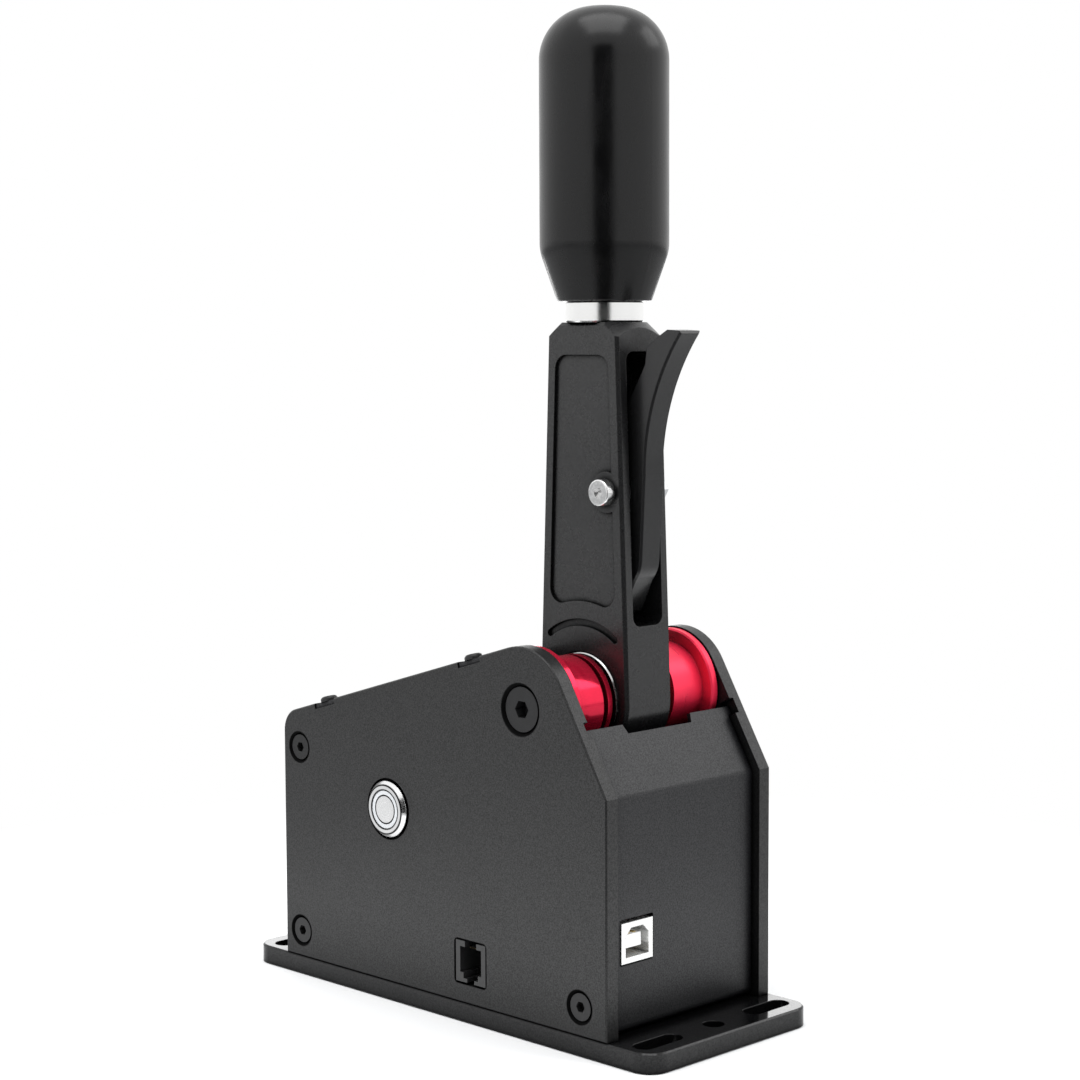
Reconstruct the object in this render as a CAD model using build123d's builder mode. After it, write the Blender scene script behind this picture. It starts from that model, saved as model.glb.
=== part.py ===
# Sequential gear shifter for a driving simulator.
# Millimetres, +Z up. The origin is the centre of the base plate's underside.
# +X is the front end, away from the driver, with the finger trigger and the USB socket.
# -Y is the near side, with the push button and the modular socket.

from build123d import *
from math import acos, atan2, cos, hypot, radians, sin, tan
import os

os.makedirs("parts", exist_ok=True)

# General fits
overrun = 2.0
thread_gap = 0.05
running_gap = 0.05
seat_gap = 0.02
hole_gap = 0.2

# Base plate
base_length = 183.0
base_width = 74.0
base_thickness = 6.0
base_corner_radius = 7.0
base_edge_chamfer = 0.5
slot_line_inset = 8.5
slot_width = 6.8
slot_length = 18.5
slot_edge_margin = 3.0
centre_hole_diameter = 6.6

# Side plates
plate_length = 148.0
plate_thickness = 5.0
front_edge_height = 71.7
plate_edge_chamfer = 0.4
nose_radius = 19.0
roof_slope = 16.4
rear_corner_radius = 7.5

# Pivot of the lever, from the front edge of the plates and from the base plate's top
pivot_from_front = 35.4
pivot_height = 94.5

# Side screws, M5 countersunk, and pivot screws, M8 countersunk
sink_margin = 0.2
screw_head_rim = 0.6
side_screw_head = 10.0
side_screw_sunk = 0.25
side_screw_shank = 5.0
side_screw_length = 16.0
side_screw_socket = 3.0
side_screw_socket_depth = 2.2
pivot_screw_head = 16.0
pivot_screw_sunk = 0.55
pivot_screw_shank = 8.0
pivot_screw_length = 18.0
pivot_screw_socket = 5.0
pivot_screw_socket_depth = 3.6
low_screw_height = 8.7
high_screw_height = 70.5
rear_screw_inset = 8.0
front_screw_inset = 11.0

# Cross bars and the top cross rod that join the two side plates
bar_depth = 11.0
bar_edge_chamfer = 0.6
cross_rod_diameter = 11.0
tapped_depth = 14.0
base_screw_from_plate = 18.0
base_tapped_depth = 11.0

# Sheet covers
sheet_thickness = 1.5
sheet_bend_radius = 2.7
cover_side_gap = 0.3
front_cover_recess = 2.8
front_cover_top_height = 89.9
lever_gap_depth = 3.0
lever_gap_half_width = 14.2
lever_gap_flare = 1.0
lever_cover_gap = 0.8
ear_reach = 1.6
ear_height = 3.0
ear_pocket_gap = 0.4
ear_pocket_headroom = 1.6
roof_recess = 0.3
roof_bend_radius = 7.2
roof_end_from_nose = 11.5
roof_gap_depth = 6.0
roof_gap_half_width = 15.2
tab_from_nose = 18.0
tab_pitch = 72.0
tab_width = 9.7
tab_setback = 0.4
notch_side_gap = 0.2

# Cover screws, M3 button head
cover_screw_head = 5.7
cover_screw_head_height = 1.65
cover_screw_dome = 1.1
cover_screw_shank = 3.0
cover_screw_length = 8.0
cover_screw_socket = 2.0
cover_screw_socket_depth = 1.0
cover_tapped_depth = 8.0

# Lever arm
lever_thickness = 20.4
hub_radius = 18.8
lever_top_height = 209.8
lever_top_half_width = 14.6
lever_chamfer = 1.0
lever_crown_radius = 13.0
pocket_inset = 3.9
pocket_depth = 0.9
pocket_top_drop = 9.8
pocket_corner_radius = 4.5
pocket_foot_radius = 30.5
groove_radius = 23.9
groove_width = 2.2
groove_depth = 1.0
groove_half_angle = 35.0
pin_boss_radius = 6.3

# Slot for the trigger in the front of the lever
trigger_slot_width = 13.0
trigger_slot_setback = 9.0
trigger_slot_foot_height = 118.0
trigger_slot_head_drop = 8.8
trigger_slot_corner = 4.0
trigger_slot_foot_corner = 3.0

# Tail of the lever, a fork that drives the shuttle
tail_width = 16.0
tail_thickness = 12.0
fork_slot_width = 8.4
fork_slot_headroom = 4.6
fork_reach = 5.0

# Ball bearings in the hub, 10 x 30 x 9
bearing_outer = 30.0
bearing_bore = 10.0
bearing_width = 9.0
inner_race_radius = 7.9
outer_race_radius = 12.1
ball_radius = 2.3
race_groove_radius = 2.45
ball_count = 9
bearing_chamfer = 0.6
bearing_web = 2.8
bearing_web_radius = 12.6
seal_thickness = 0.6
seal_inset = 0.5

# Pivot spacers
spacer_flange_radius = 18.6
spacer_flange_thickness = 3.0
spacer_barrel_radius = 14.5
spacer_end_gap = 1.4
spacer_neck_radius = 7.0
spacer_groove_width = 1.9
spacer_groove_depth = 1.6
spacer_lip = 2.3
spacer_chamfer = 0.5
spacer_tapped_depth = 16.0
spacer_tip_gap = 0.4

# Knob, collar and stud
stud_diameter = 10.0
stud_in_knob = 28.0
stud_end_gap = 0.5
collar_radius = 11.9
collar_height = 6.4
collar_chamfer = 0.5
knob_radius = 19.75
knob_foot_radius = 14.4
knob_height = 88.4
knob_dome_radius = 16.0
knob_taper_height = 15.3
knob_taper_blend = 14.0
knob_foot_round = 0.6
insert_diameter = 14.0
insert_length = 22.0

# Trigger, placed from its pin
pin_from_axis = 10.1
pin_height = 158.7
trigger_width = 8.9
trigger_reach = 24.8
trigger_rise = 48.7
trigger_drop = 37.3
trigger_hub_radius = 6.8
trigger_nose_blend = 9.0
trigger_chamfer = 0.6
trigger_foot_round = 1.6
tip_front_share = (1.0, 0.975)
blade_mid_share = (0.508, 0.468)
blade_foot_share = (0.42, 0.11)
grip_foot_share = (0.363, -0.555)
nose_mid_share = (0.33, -0.645)
nose_end_share = (0.262, -0.713)
foot_front_share = (0.052, -1.0)
foot_back_share = (-0.12, -1.0)
tail_back_share = (-0.18, -0.80)
tail_top_share = (-0.18, -0.42)
hub_back_share = (0.052, 0.12)
back_low_share = (0.052, 0.437)
back_mid_share = (0.093, 0.5)
heel_low_share = (0.363, 0.725)
heel_mid_share = (0.435, 0.79)
heel_top_share = (0.46, 0.893)
crest_low_share = (0.621, 0.951)
crest_back_share = (0.79, 1.0)
crest_front_share = (0.985, 0.994)

# Trigger screw, M5 low head, its nut and washers
trigger_screw_head = 8.2
trigger_screw_head_height = 3.6
trigger_screw_dome = 0.5
trigger_screw_shank = 5.0
trigger_screw_length = 23.6
trigger_screw_socket = 3.0
trigger_screw_socket_depth = 2.0
trigger_nut_flats = 8.0
trigger_nut_height = 2.7
trigger_washer_outer = 10.0
washer_side_gap = 0.05

# Trigger spring and sensor
trigger_spring_outer = 7.0
trigger_spring_wire = 0.8
trigger_spring_rise = 15.0
spring_seat_depth = 1.5
spring_seat_gap = 0.3
magnet_diameter = 5.0
magnet_thickness = 2.0
magnet_drop = 22.0
sensor_board_length = 18.0
sensor_board_width = 7.0
sensor_board_thickness = 1.2
sensor_chip_side = 4.0
sensor_chip_height = 1.4

# Shuttle on its guide rod, driven by the fork
drive_pin_drop = 52.5
drive_pin_diameter = 5.0
drive_roller_diameter = 8.0
drive_roller_gap = 0.1
rod_height = 27.0
rod_diameter = 8.0
rod_setback = 0.5
rod_chamfer = 0.5
bush_outer = 10.0
shuttle_length = 18.0
shuttle_width = 18.8
shuttle_foot_height = 15.0
shuttle_deck_height = 35.0
shuttle_cheek_length = 14.0
shuttle_cheek_top = 47.0
fork_side_gap = 0.5
shuttle_edge_chamfer = 0.5
shuttle_magnet_diameter = 6.0
shuttle_magnet_thickness = 2.5
shuttle_magnet_height = 21.0

# Towers that carry the guide rod, springs and rubber bumpers
tower_width = 18.0
tower_top_height = 35.0
tower_thickness = 8.0
main_spring_outer = 12.3
main_spring_wire = 1.3
bumper_diameter = 4.4
bumper_height = 18.3
bumper_spacing = 10.0
bumper_stem_diameter = 2.6
bumper_stem_length = 3.0
bumper_end_gap = 0.3
bumper_edge = 0.4
lever_swing = 7.0
tower_screw_head = 8.0
tower_screw_sunk = 0.2
tower_screw_shank = 4.0
tower_screw_length = 14.0
tower_screw_socket = 2.5
tower_screw_socket_depth = 1.6
tower_screw_spacing = 10.0
tower_tapped_depth = 10.0

# Main board with the modular jack
board_thickness = 1.6
board_length = 50.0
board_height = 40.0
board_centre_x = 19.0
board_foot_height = 3.0
board_distance = 10.4
board_hole_inset = 3.5
board_hole_diameter = 3.4
standoff_diameter = 5.5
standoff_stud = 3.0
standoff_stud_length = 3.6
standoff_bore_depth = 6.0
board_screw_head = 5.5
board_screw_head_height = 2.0
board_screw_dome = 0.7
board_screw_length = 7.0
board_screw_socket = 2.0
board_screw_socket_depth = 1.0
chip_side = 10.0
chip_height = 1.4
chip_lift = 6.0
small_chip_side = 4.0

# Modular jack and its cut-out in the near side plate
jack_x = 16.15
jack_height = 13.0
jack_width = 13.2
jack_tall = 13.0
jack_cutout_gap = 0.65
jack_cutout_corner = 1.5
jack_recess = 0.1
jack_mouth_width = 9.4
jack_mouth_height = 8.1
jack_mouth_depth = 12.0
jack_mouth_lift = 0.6
jack_key_width = 5.1
jack_latch_width = 6.5
jack_latch_drop = 1.8
jack_tongue_width = 3.2
jack_contact_width = 0.5
jack_contact_thickness = 0.35
jack_contact_pitch = 1.02
jack_contact_start = 1.5
jack_contact_fall = 3.2

# USB socket, type B, and its small board
usb_height = 27.3
usb_width = 13.6
usb_tall = 12.2
usb_depth = 13.6
usb_cutout_width = 14.5
usb_cutout_height = 13.8
usb_cutout_lift = 0.3
usb_cutout_corner = 0.6
usb_proud = 0.3
usb_mouth_width = 10.0
usb_mouth_height = 8.8
usb_mouth_chamfer = 2.4
usb_mouth_depth = 11.6
usb_tongue_width = 6.6
usb_tongue_height = 4.0
usb_tongue_setback = 1.6
usb_contact_width = 1.2
usb_contact_thickness = 0.2
usb_contact_spacing = 2.6
usb_board_length = 20.0
usb_board_side_gap = 0.4
usb_board_rod_gap = 1.6
usb_board_thickness = 1.6
usb_board_setback = 0.4
usb_standoff_inset = 2.75
usb_standoff_from_back = 3.4

# Push button in the near side plate, 16 mm series
button_x = -21.6
button_height = 56.0
button_bezel_diameter = 18.0
button_bezel_height = 1.6
button_bezel_chamfer = 1.2
button_ring_gap = 0.9
button_ring_lap = 0.4
button_ring_depth = 1.6
button_thread_diameter = 16.0
button_barrel_length = 14.0
button_well_diameter = 12.2
button_halo_recess = 0.2
button_halo_thickness = 2.2
button_bore_diameter = 11.6
button_cap_diameter = 9.4
button_flange_diameter = 11.2
button_flange_thickness = 1.0
button_flange_gap = 0.1
button_web_start = 7.4
button_web_thickness = 2.0
button_stem_diameter = 5.0
button_stem_length = 8.3
button_switch_neck = 2.1
button_nut_flats = 19.0
button_nut_height = 3.0
button_switch_diameter = 15.6
button_switch_length = 8.0
button_spring_outer = 8.6
button_spring_wire = 0.6
terminal_width = 2.0
terminal_thickness = 0.5
terminal_length = 5.0
terminal_seat = 2.0
terminal_spacing = 7.0

# Places worked out from the sizes above
half_width = base_width / 2
inner_face = half_width - plate_thickness
base_screw_spacing = 2 * (inner_face - base_screw_from_plate)
plate_front = plate_length / 2
plate_rear = -plate_length / 2
pivot_x = plate_front - pivot_from_front
pivot_z = base_thickness + pivot_height
bend_z = base_thickness + front_edge_height
low_screw_z = base_thickness + low_screw_height
high_screw_z = base_thickness + high_screw_height
rear_screw_x = plate_rear + rear_screw_inset
front_screw_x = plate_front - front_screw_inset
roof_cos = cos(radians(roof_slope))
roof_sin = sin(radians(roof_slope))
nose_x = pivot_x - nose_radius * roof_sin
nose_z = pivot_z + nose_radius * roof_cos
bend_reach = hypot(pivot_from_front, pivot_z - bend_z)
slant_normal = atan2(bend_z - pivot_z, pivot_from_front) + acos(nose_radius / bend_reach)
slant_cos = cos(slant_normal)
slant_sin = sin(slant_normal)
bar_foot_z = base_thickness + sheet_thickness
bar_height = 2 * (low_screw_z - bar_foot_z)
bar_width = 2 * inner_face
half_lever = lever_thickness / 2
lever_top_z = base_thickness + lever_top_height
pin_x = pivot_x + pin_from_axis
pin_z = base_thickness + pin_height
rod_z = base_thickness + rod_height
drive_pin_z = pivot_z - drive_pin_drop
jack_z = base_thickness + jack_height
usb_z = base_thickness + usb_height
usb_board_width = inner_face - tower_width / 2 - usb_board_side_gap - usb_board_rod_gap
usb_y = usb_board_side_gap + usb_board_width / 2 - inner_face
usb_standoff_spacing = usb_board_width - 2 * usb_standoff_inset
button_z = base_thickness + button_height
board_y = -inner_face + board_distance
board_back_y = board_y + board_thickness
board_z = base_thickness + board_foot_height + board_height / 2
tower_top_z = base_thickness + tower_top_height
tower_face_front = front_screw_x + bar_depth / 2 - tower_thickness
tower_face_rear = 2 * pivot_x - tower_face_front
tower_rear_x = tower_face_rear - tower_thickness / 2
slide_travel = drive_pin_drop * radians(lever_swing)
spring_room = tower_face_front - pivot_x - shuttle_length / 2
bumper_length = spring_room - slide_travel - bumper_end_gap
bumper_z = base_thickness + bumper_height
usb_board_front_x = plate_front - front_cover_recess - sheet_thickness - usb_board_setback
usb_board_x = usb_board_front_x - usb_board_length / 2
usb_board_top_z = usb_z - usb_tall / 2
usb_standoff_x = usb_board_front_x - usb_board_length + usb_standoff_from_back


# The roof's line runs from the nose to the rear, the front's line from the bend to the nose.
def roof_point(distance, depth):
    return (nose_x - distance * roof_cos + depth * roof_sin,
            nose_z - distance * roof_sin - depth * roof_cos)


def front_point(distance, depth):
    return (plate_front - distance * slant_sin - depth * slant_cos,
            bend_z + distance * slant_cos - depth * slant_sin)


def front_corner(depth):
    return (plate_front - depth, bend_z - depth * tan(slant_normal / 2))


def facing(x, y, z, direction):
    across = (0, 1, 0) if direction[0] else (1, 0, 0)
    return Plane(origin=(x, y, z), x_dir=across, z_dir=direction).location


def roof_facing(distance, depth, y):
    x, z = roof_point(distance, depth)
    return Plane(origin=(x, y, z), x_dir=(0, 1, 0), z_dir=(-roof_sin, 0, roof_cos)).location


def spin(points):
    with BuildPart() as turned:
        with BuildSketch(Plane.XZ):
            with BuildLine():
                Polyline(*points, close=True)
            make_face()
        revolve(axis=Axis.Z)
    return turned.part


# A countersunk screw has its head's top at the origin and points down.
# Its head has a short upright rim and sits sunk in the cone, so a dark ring shows round it.
def countersunk_screw(head, shank, length, socket, socket_depth, sunk):
    cone = (head - shank) / 2
    rim_foot = sunk + screw_head_rim
    body = spin([(0, -sunk), (head / 2 - rim_foot, -sunk), (head / 2 - rim_foot, -rim_foot),
                 (shank / 2, -cone), (shank / 2, -length), (0, -length)])
    with BuildPart() as screw:
        add(body)
        with BuildSketch(Plane.XY.offset(-sunk)):
            RegularPolygon(radius=socket / 2, side_count=6, major_radius=False)
        extrude(amount=-socket_depth, mode=Mode.SUBTRACT)
    return screw.part


# The hole for it is cut to the same cone, with the head a little below the surface.
def sink_cut(head, shank, depth):
    bore = shank / 2 + hole_gap
    mouth = head / 2 + sink_margin
    return spin([(0, overrun), (mouth, overrun), (mouth, sink_margin), (bore, bore - head / 2),
                 (bore, -depth), (0, -depth)])


# A button-head or pan-head screw stands on the origin and points down.
def headed_screw(head, head_height, dome, shank, length, socket, socket_depth):
    with BuildPart() as screw:
        with Locations((0, 0, head_height / 2)):
            Cylinder(head / 2, head_height)
        fillet(screw.edges().group_by(Axis.Z)[-1], dome)
        with Locations((0, 0, -length / 2)):
            Cylinder(shank / 2, length)
        with BuildSketch(Plane.XY.offset(head_height)):
            RegularPolygon(radius=socket / 2, side_count=6, major_radius=False)
        extrude(amount=-socket_depth, mode=Mode.SUBTRACT)
    return screw.part


def sleeve(outer, bore, length):
    with BuildPart() as tube:
        Cylinder(outer / 2, length)
        Cylinder(bore / 2, length, mode=Mode.SUBTRACT)
    return tube.part


# A standoff has a stud below the origin and a tapped bore in its far end.
def standoff(length):
    bore = standoff_stud / 2 + thread_gap
    return spin([(0, -standoff_stud_length), (standoff_stud / 2, -standoff_stud_length),
                 (standoff_stud / 2, 0), (standoff_diameter / 2, 0),
                 (standoff_diameter / 2, length), (bore, length),
                 (bore, length - standoff_bore_depth), (0, length - standoff_bore_depth)])


side_screw = countersunk_screw(side_screw_head, side_screw_shank, side_screw_length,
                               side_screw_socket, side_screw_socket_depth, side_screw_sunk)
side_sink = sink_cut(side_screw_head, side_screw_shank, side_screw_length)
pivot_screw = countersunk_screw(pivot_screw_head, pivot_screw_shank, pivot_screw_length,
                                pivot_screw_socket, pivot_screw_socket_depth,
                                pivot_screw_sunk)
pivot_sink = sink_cut(pivot_screw_head, pivot_screw_shank, pivot_screw_length)
tower_screw = countersunk_screw(tower_screw_head, tower_screw_shank, tower_screw_length,
                                tower_screw_socket, tower_screw_socket_depth,
                                tower_screw_sunk)
tower_sink = sink_cut(tower_screw_head, tower_screw_shank, tower_screw_length)
cover_screw = headed_screw(cover_screw_head, cover_screw_head_height, cover_screw_dome,
                           cover_screw_shank, cover_screw_length, cover_screw_socket,
                           cover_screw_socket_depth)
board_screw = headed_screw(board_screw_head, board_screw_head_height, board_screw_dome,
                           standoff_stud, board_screw_length, board_screw_socket,
                           board_screw_socket_depth)

sides = (-1, 1)
side_screw_places = [(rear_screw_x, low_screw_z), (rear_screw_x, high_screw_z),
                     (front_screw_x, low_screw_z)]
base_screw_points = [(x, side * base_screw_spacing / 2)
                     for x in (rear_screw_x, front_screw_x) for side in sides]
tower_screw_points = [(tower_rear_x, side * tower_screw_spacing / 2) for side in sides]
board_hole_points = [(board_centre_x + across * (board_length / 2 - board_hole_inset),
                      board_z + up * (board_height / 2 - board_hole_inset))
                     for across in sides for up in sides]
usb_hole_points = [(usb_standoff_x, usb_y + side * usb_standoff_spacing / 2) for side in sides]
stud_hole = standoff_stud / 2 + thread_gap
stud_hole_depth = standoff_stud_length + hole_gap

# Base plate with two slots and a round hole at each end
slot_line = base_length / 2 - slot_line_inset
slot_centre = half_width - slot_edge_margin - slot_length / 2
with BuildPart() as base_plate:
    with BuildSketch():
        RectangleRounded(base_length, base_width, base_corner_radius)
    extrude(amount=base_thickness)
    chamfer(base_plate.edges().group_by(Axis.Z)[-1], base_edge_chamfer)
    with BuildSketch():
        with Locations((slot_line, 0), (-slot_line, 0)):
            Circle(centre_hole_diameter / 2)
        with Locations(*[(x, y) for x in (slot_line, -slot_line)
                         for y in (slot_centre, -slot_centre)]):
            SlotOverall(slot_length, slot_width, rotation=90)
    extrude(amount=base_thickness, mode=Mode.SUBTRACT)
    with Locations(*[facing(x, y, sink_margin, (0, 0, -1)) for x, y in base_screw_points]):
        add(side_sink, mode=Mode.SUBTRACT)
    with Locations(*[facing(x, y, sink_margin, (0, 0, -1)) for x, y in tower_screw_points]):
        add(tower_sink, mode=Mode.SUBTRACT)
    with Locations(*[(x, y, base_thickness) for x, y in usb_hole_points]):
        Cylinder(stud_hole, 2 * stud_hole_depth, mode=Mode.SUBTRACT)
base_plate.part.label = "base_plate"
export_step(base_plate.part, "parts/base_plate.step")

# Side plates: a square foot, a bent front edge and a round nose about the pivot
nose_mid_angle = (slant_normal + radians(90 + roof_slope)) / 2
nose_mid = (pivot_x + nose_radius * cos(nose_mid_angle),
            pivot_z + nose_radius * sin(nose_mid_angle))
nose_front = (pivot_x + nose_radius * slant_cos, pivot_z + nose_radius * slant_sin)
rear_corner = (plate_rear, nose_z - (nose_x - plate_rear) * tan(radians(roof_slope)))
notch_depth = roof_recess + sheet_thickness + seat_gap
notch_reach = tab_width / 2 + notch_side_gap
cover_screw_y = inner_face + plate_thickness / 2
tab_places = [tab_from_nose, tab_from_nose + tab_pitch]
front_cover_top = ((base_thickness + front_cover_top_height - bend_z
                    + front_cover_recess * slant_sin) / slant_cos)
ear_pocket_top = front_cover_top + ear_pocket_headroom
ear_pocket_foot = front_cover_top - ear_height - ear_pocket_gap
ear_pocket_floor = front_cover_recess + sheet_thickness + ear_pocket_gap
ear_pocket_y = inner_face + ear_reach + ear_pocket_gap - cover_side_gap


def plate_blank(side):
    low_y = inner_face if side > 0 else -half_width
    with BuildPart() as blank:
        with BuildSketch(Plane.XZ.offset(-low_y)):
            with BuildLine():
                Polyline(rear_corner, (plate_rear, base_thickness),
                         (plate_front, base_thickness), (plate_front, bend_z), nose_front)
                ThreePointArc(nose_front, nose_mid, (nose_x, nose_z))
                Line((nose_x, nose_z), rear_corner)
            make_face()
        extrude(amount=-plate_thickness)
        fillet(blank.edges().filter_by(Axis.Y).sort_by_distance(
            (rear_corner[0], side * half_width, rear_corner[1]))[0], rear_corner_radius)
        chamfer(blank.faces().sort_by(Axis.Y)[0 if side < 0 else -1].edges(),
                plate_edge_chamfer)
        with Locations(*[facing(x, side * (half_width - sink_margin), z, (0, side, 0))
                         for x, z in side_screw_places]):
            add(side_sink, mode=Mode.SUBTRACT)
        with Locations(facing(pivot_x, side * (half_width - sink_margin), pivot_z,
                              (0, side, 0))):
            add(pivot_sink, mode=Mode.SUBTRACT)
        with BuildSketch(Plane.XZ):
            for distance in tab_places:
                with BuildLine():
                    Polyline(roof_point(distance - notch_reach, notch_depth),
                             roof_point(distance + notch_reach, notch_depth),
                             roof_point(distance + notch_reach, -overrun),
                             roof_point(distance - notch_reach, -overrun), close=True)
                make_face()
            with BuildLine():
                Polyline(front_point(ear_pocket_foot, ear_pocket_floor),
                         front_point(ear_pocket_top, ear_pocket_floor),
                         front_point(ear_pocket_top, -overrun),
                         front_point(ear_pocket_foot, -overrun), close=True)
            make_face()
        extrude(amount=ear_pocket_y, both=True, mode=Mode.SUBTRACT)
        with BuildSketch(Plane.XZ):
            for distance in tab_places:
                with BuildLine():
                    Polyline(roof_point(distance - notch_reach, notch_depth),
                             roof_point(distance + notch_reach, notch_depth),
                             roof_point(distance + notch_reach, -overrun),
                             roof_point(distance - notch_reach, -overrun), close=True)
                make_face()
        extrude(amount=half_width + overrun, both=True, mode=Mode.SUBTRACT)
        with Locations(*[roof_facing(distance, notch_depth, side * cover_screw_y)
                         for distance in tab_places]):
            Cylinder(cover_screw_shank / 2 + thread_gap, 2 * cover_tapped_depth,
                     mode=Mode.SUBTRACT)
    return blank.part


near_blank = plate_blank(-1)
far_blank = plate_blank(1)

# A narrow trench runs round the button's bezel, a little way under its rim.
button_ring = sleeve(button_bezel_diameter + 2 * button_ring_gap,
                     button_bezel_diameter - 2 * button_ring_lap, 2 * button_ring_depth)

with BuildPart() as side_plate_near:
    add(near_blank)
    with BuildSketch(Plane.XZ.offset(half_width + overrun)):
        with Locations((jack_x, jack_z)):
            RectangleRounded(jack_width + 2 * jack_cutout_gap, jack_tall + 2 * jack_cutout_gap,
                             jack_cutout_corner)
        with Locations((button_x, button_z)):
            Circle(button_thread_diameter / 2 + hole_gap)
    extrude(amount=-plate_thickness - 2 * overrun, mode=Mode.SUBTRACT)
    with Locations(*[facing(x, -inner_face, z, (0, 1, 0)) for x, z in board_hole_points]):
        Cylinder(stud_hole, 2 * stud_hole_depth, mode=Mode.SUBTRACT)
    with Locations(facing(button_x, -half_width, button_z, (0, -1, 0))):
        add(button_ring, mode=Mode.SUBTRACT)
side_plate_near.part.label = "side_plate_near"
export_step(side_plate_near.part, "parts/side_plate_near.step")

with BuildPart() as side_plate_far:
    add(far_blank)
side_plate_far.part.label = "side_plate_far"
export_step(side_plate_far.part, "parts/side_plate_far.step")

# Front cover, one bent sheet with a flange clamped under the front cross bar
cover_half_width = inner_face - cover_side_gap
front_sheet_x = plate_front - front_cover_recess
slant_face = Plane(origin=(plate_front, 0, bend_z), x_dir=(0, 1, 0),
                   z_dir=(slant_cos, 0, slant_sin))
gap_foot = front_cover_top - lever_gap_depth
gap_top = front_cover_top + overrun
gap_half_top = lever_gap_half_width + lever_gap_flare
with BuildPart() as front_cover:
    with BuildSketch(Plane.XZ):
        with BuildLine():
            FilletPolyline((front_screw_x - bar_depth / 2, base_thickness),
                           (front_sheet_x, base_thickness), front_corner(front_cover_recess),
                           front_point(front_cover_top, front_cover_recess),
                           radius=sheet_bend_radius)
            offset(amount=sheet_thickness, side=Side.LEFT)
        make_face()
    extrude(amount=cover_half_width, both=True)
    with BuildSketch(slant_face.offset(-front_cover_recess)):
        with Locations((0, front_cover_top - ear_height / 2)):
            Rectangle(2 * (cover_half_width + ear_reach), ear_height)
    extrude(amount=-sheet_thickness)
    with BuildSketch(slant_face):
        with BuildLine():
            Polyline((-lever_gap_half_width, gap_foot), (lever_gap_half_width, gap_foot),
                     (gap_half_top, front_cover_top), (gap_half_top, gap_top),
                     (-gap_half_top, gap_top), (-gap_half_top, front_cover_top), close=True)
        make_face()
    extrude(amount=nose_radius / 2, both=True, mode=Mode.SUBTRACT)
    with BuildSketch(Plane.XZ):
        with Locations((pivot_x, pivot_z)):
            Circle(hub_radius + lever_cover_gap)
        with Locations((pivot_x + (hub_radius + lever_cover_gap) / 2,
                        (pivot_z + lever_top_z) / 2)):
            Rectangle(hub_radius + lever_cover_gap, lever_top_z - pivot_z)
    extrude(amount=lever_gap_half_width, both=True, mode=Mode.SUBTRACT)
    with BuildSketch(Plane.YZ.offset(front_screw_x)):
        with Locations((usb_y, usb_z + usb_cutout_lift)):
            RectangleRounded(usb_cutout_width, usb_cutout_height, usb_cutout_corner)
    extrude(amount=front_screw_inset, mode=Mode.SUBTRACT)
    with Locations(*[(front_screw_x, side * base_screw_spacing / 2, base_thickness)
                     for side in sides]):
        Cylinder(side_screw_shank / 2 + hole_gap, 2 * (sheet_thickness + overrun),
                 mode=Mode.SUBTRACT)
front_cover.part.label = "front_cover"
export_step(front_cover.part, "parts/front_cover.step")

# Top cover, bent down behind and clamped under the rear cross bar
rear_sheet_x = plate_rear + roof_recess
roof_corner = (rear_sheet_x, nose_z - roof_recess / roof_cos
               - (nose_x - rear_sheet_x) * tan(radians(roof_slope)))
roof_face = Plane(origin=(nose_x, 0, nose_z), x_dir=(0, 1, 0), z_dir=(-roof_sin, 0, roof_cos))
with BuildPart() as top_cover:
    with BuildSketch(Plane.XZ):
        with BuildLine():
            FilletPolyline(roof_point(roof_end_from_nose, roof_recess), roof_corner,
                           (rear_sheet_x, base_thickness),
                           (rear_screw_x + bar_depth / 2, base_thickness),
                           radius=(roof_bend_radius, sheet_bend_radius))
            offset(amount=sheet_thickness, side=Side.LEFT)
        make_face()
    extrude(amount=cover_half_width, both=True)
    with BuildSketch(roof_face.offset(-roof_recess)):
        with Locations(*[(0, distance) for distance in tab_places]):
            Rectangle(2 * (half_width - tab_setback), tab_width)
    extrude(amount=-sheet_thickness)
    with BuildSketch(roof_face):
        with Locations((0, roof_end_from_nose + (roof_gap_depth - overrun) / 2)):
            Rectangle(2 * roof_gap_half_width, roof_gap_depth + overrun)
        with Locations(*[(side * cover_screw_y, distance) for distance in tab_places
                         for side in sides]):
            Circle(cover_screw_shank / 2 + hole_gap)
    extrude(amount=2 * (roof_recess + sheet_thickness), both=True, mode=Mode.SUBTRACT)
    with Locations(*[(rear_screw_x, side * base_screw_spacing / 2, base_thickness)
                     for side in sides]):
        Cylinder(side_screw_shank / 2 + hole_gap, 2 * (sheet_thickness + overrun),
                 mode=Mode.SUBTRACT)
top_cover.part.label = "top_cover"
export_step(top_cover.part, "parts/top_cover.step")

with BuildPart() as cover_screws:
    with Locations(*[roof_facing(distance, roof_recess - seat_gap, side * cover_screw_y)
                     for distance in tab_places for side in sides]):
        add(cover_screw)
cover_screws.part.label = "cover_screws"
export_step(cover_screws.part, "parts/cover_screws.step")

with BuildPart() as side_screws:
    with Locations(*[facing(x, side * (half_width - sink_margin + seat_gap), z, (0, side, 0))
                     for x, z in side_screw_places for side in sides]):
        add(side_screw)
side_screws.part.label = "side_screws"
export_step(side_screws.part, "parts/side_screws.step")

with BuildPart() as pivot_screws:
    with Locations(*[facing(pivot_x, side * (half_width - sink_margin + seat_gap), pivot_z,
                            (0, side, 0)) for side in sides]):
        add(pivot_screw)
pivot_screws.part.label = "pivot_screws"
export_step(pivot_screws.part, "parts/pivot_screws.step")

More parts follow.
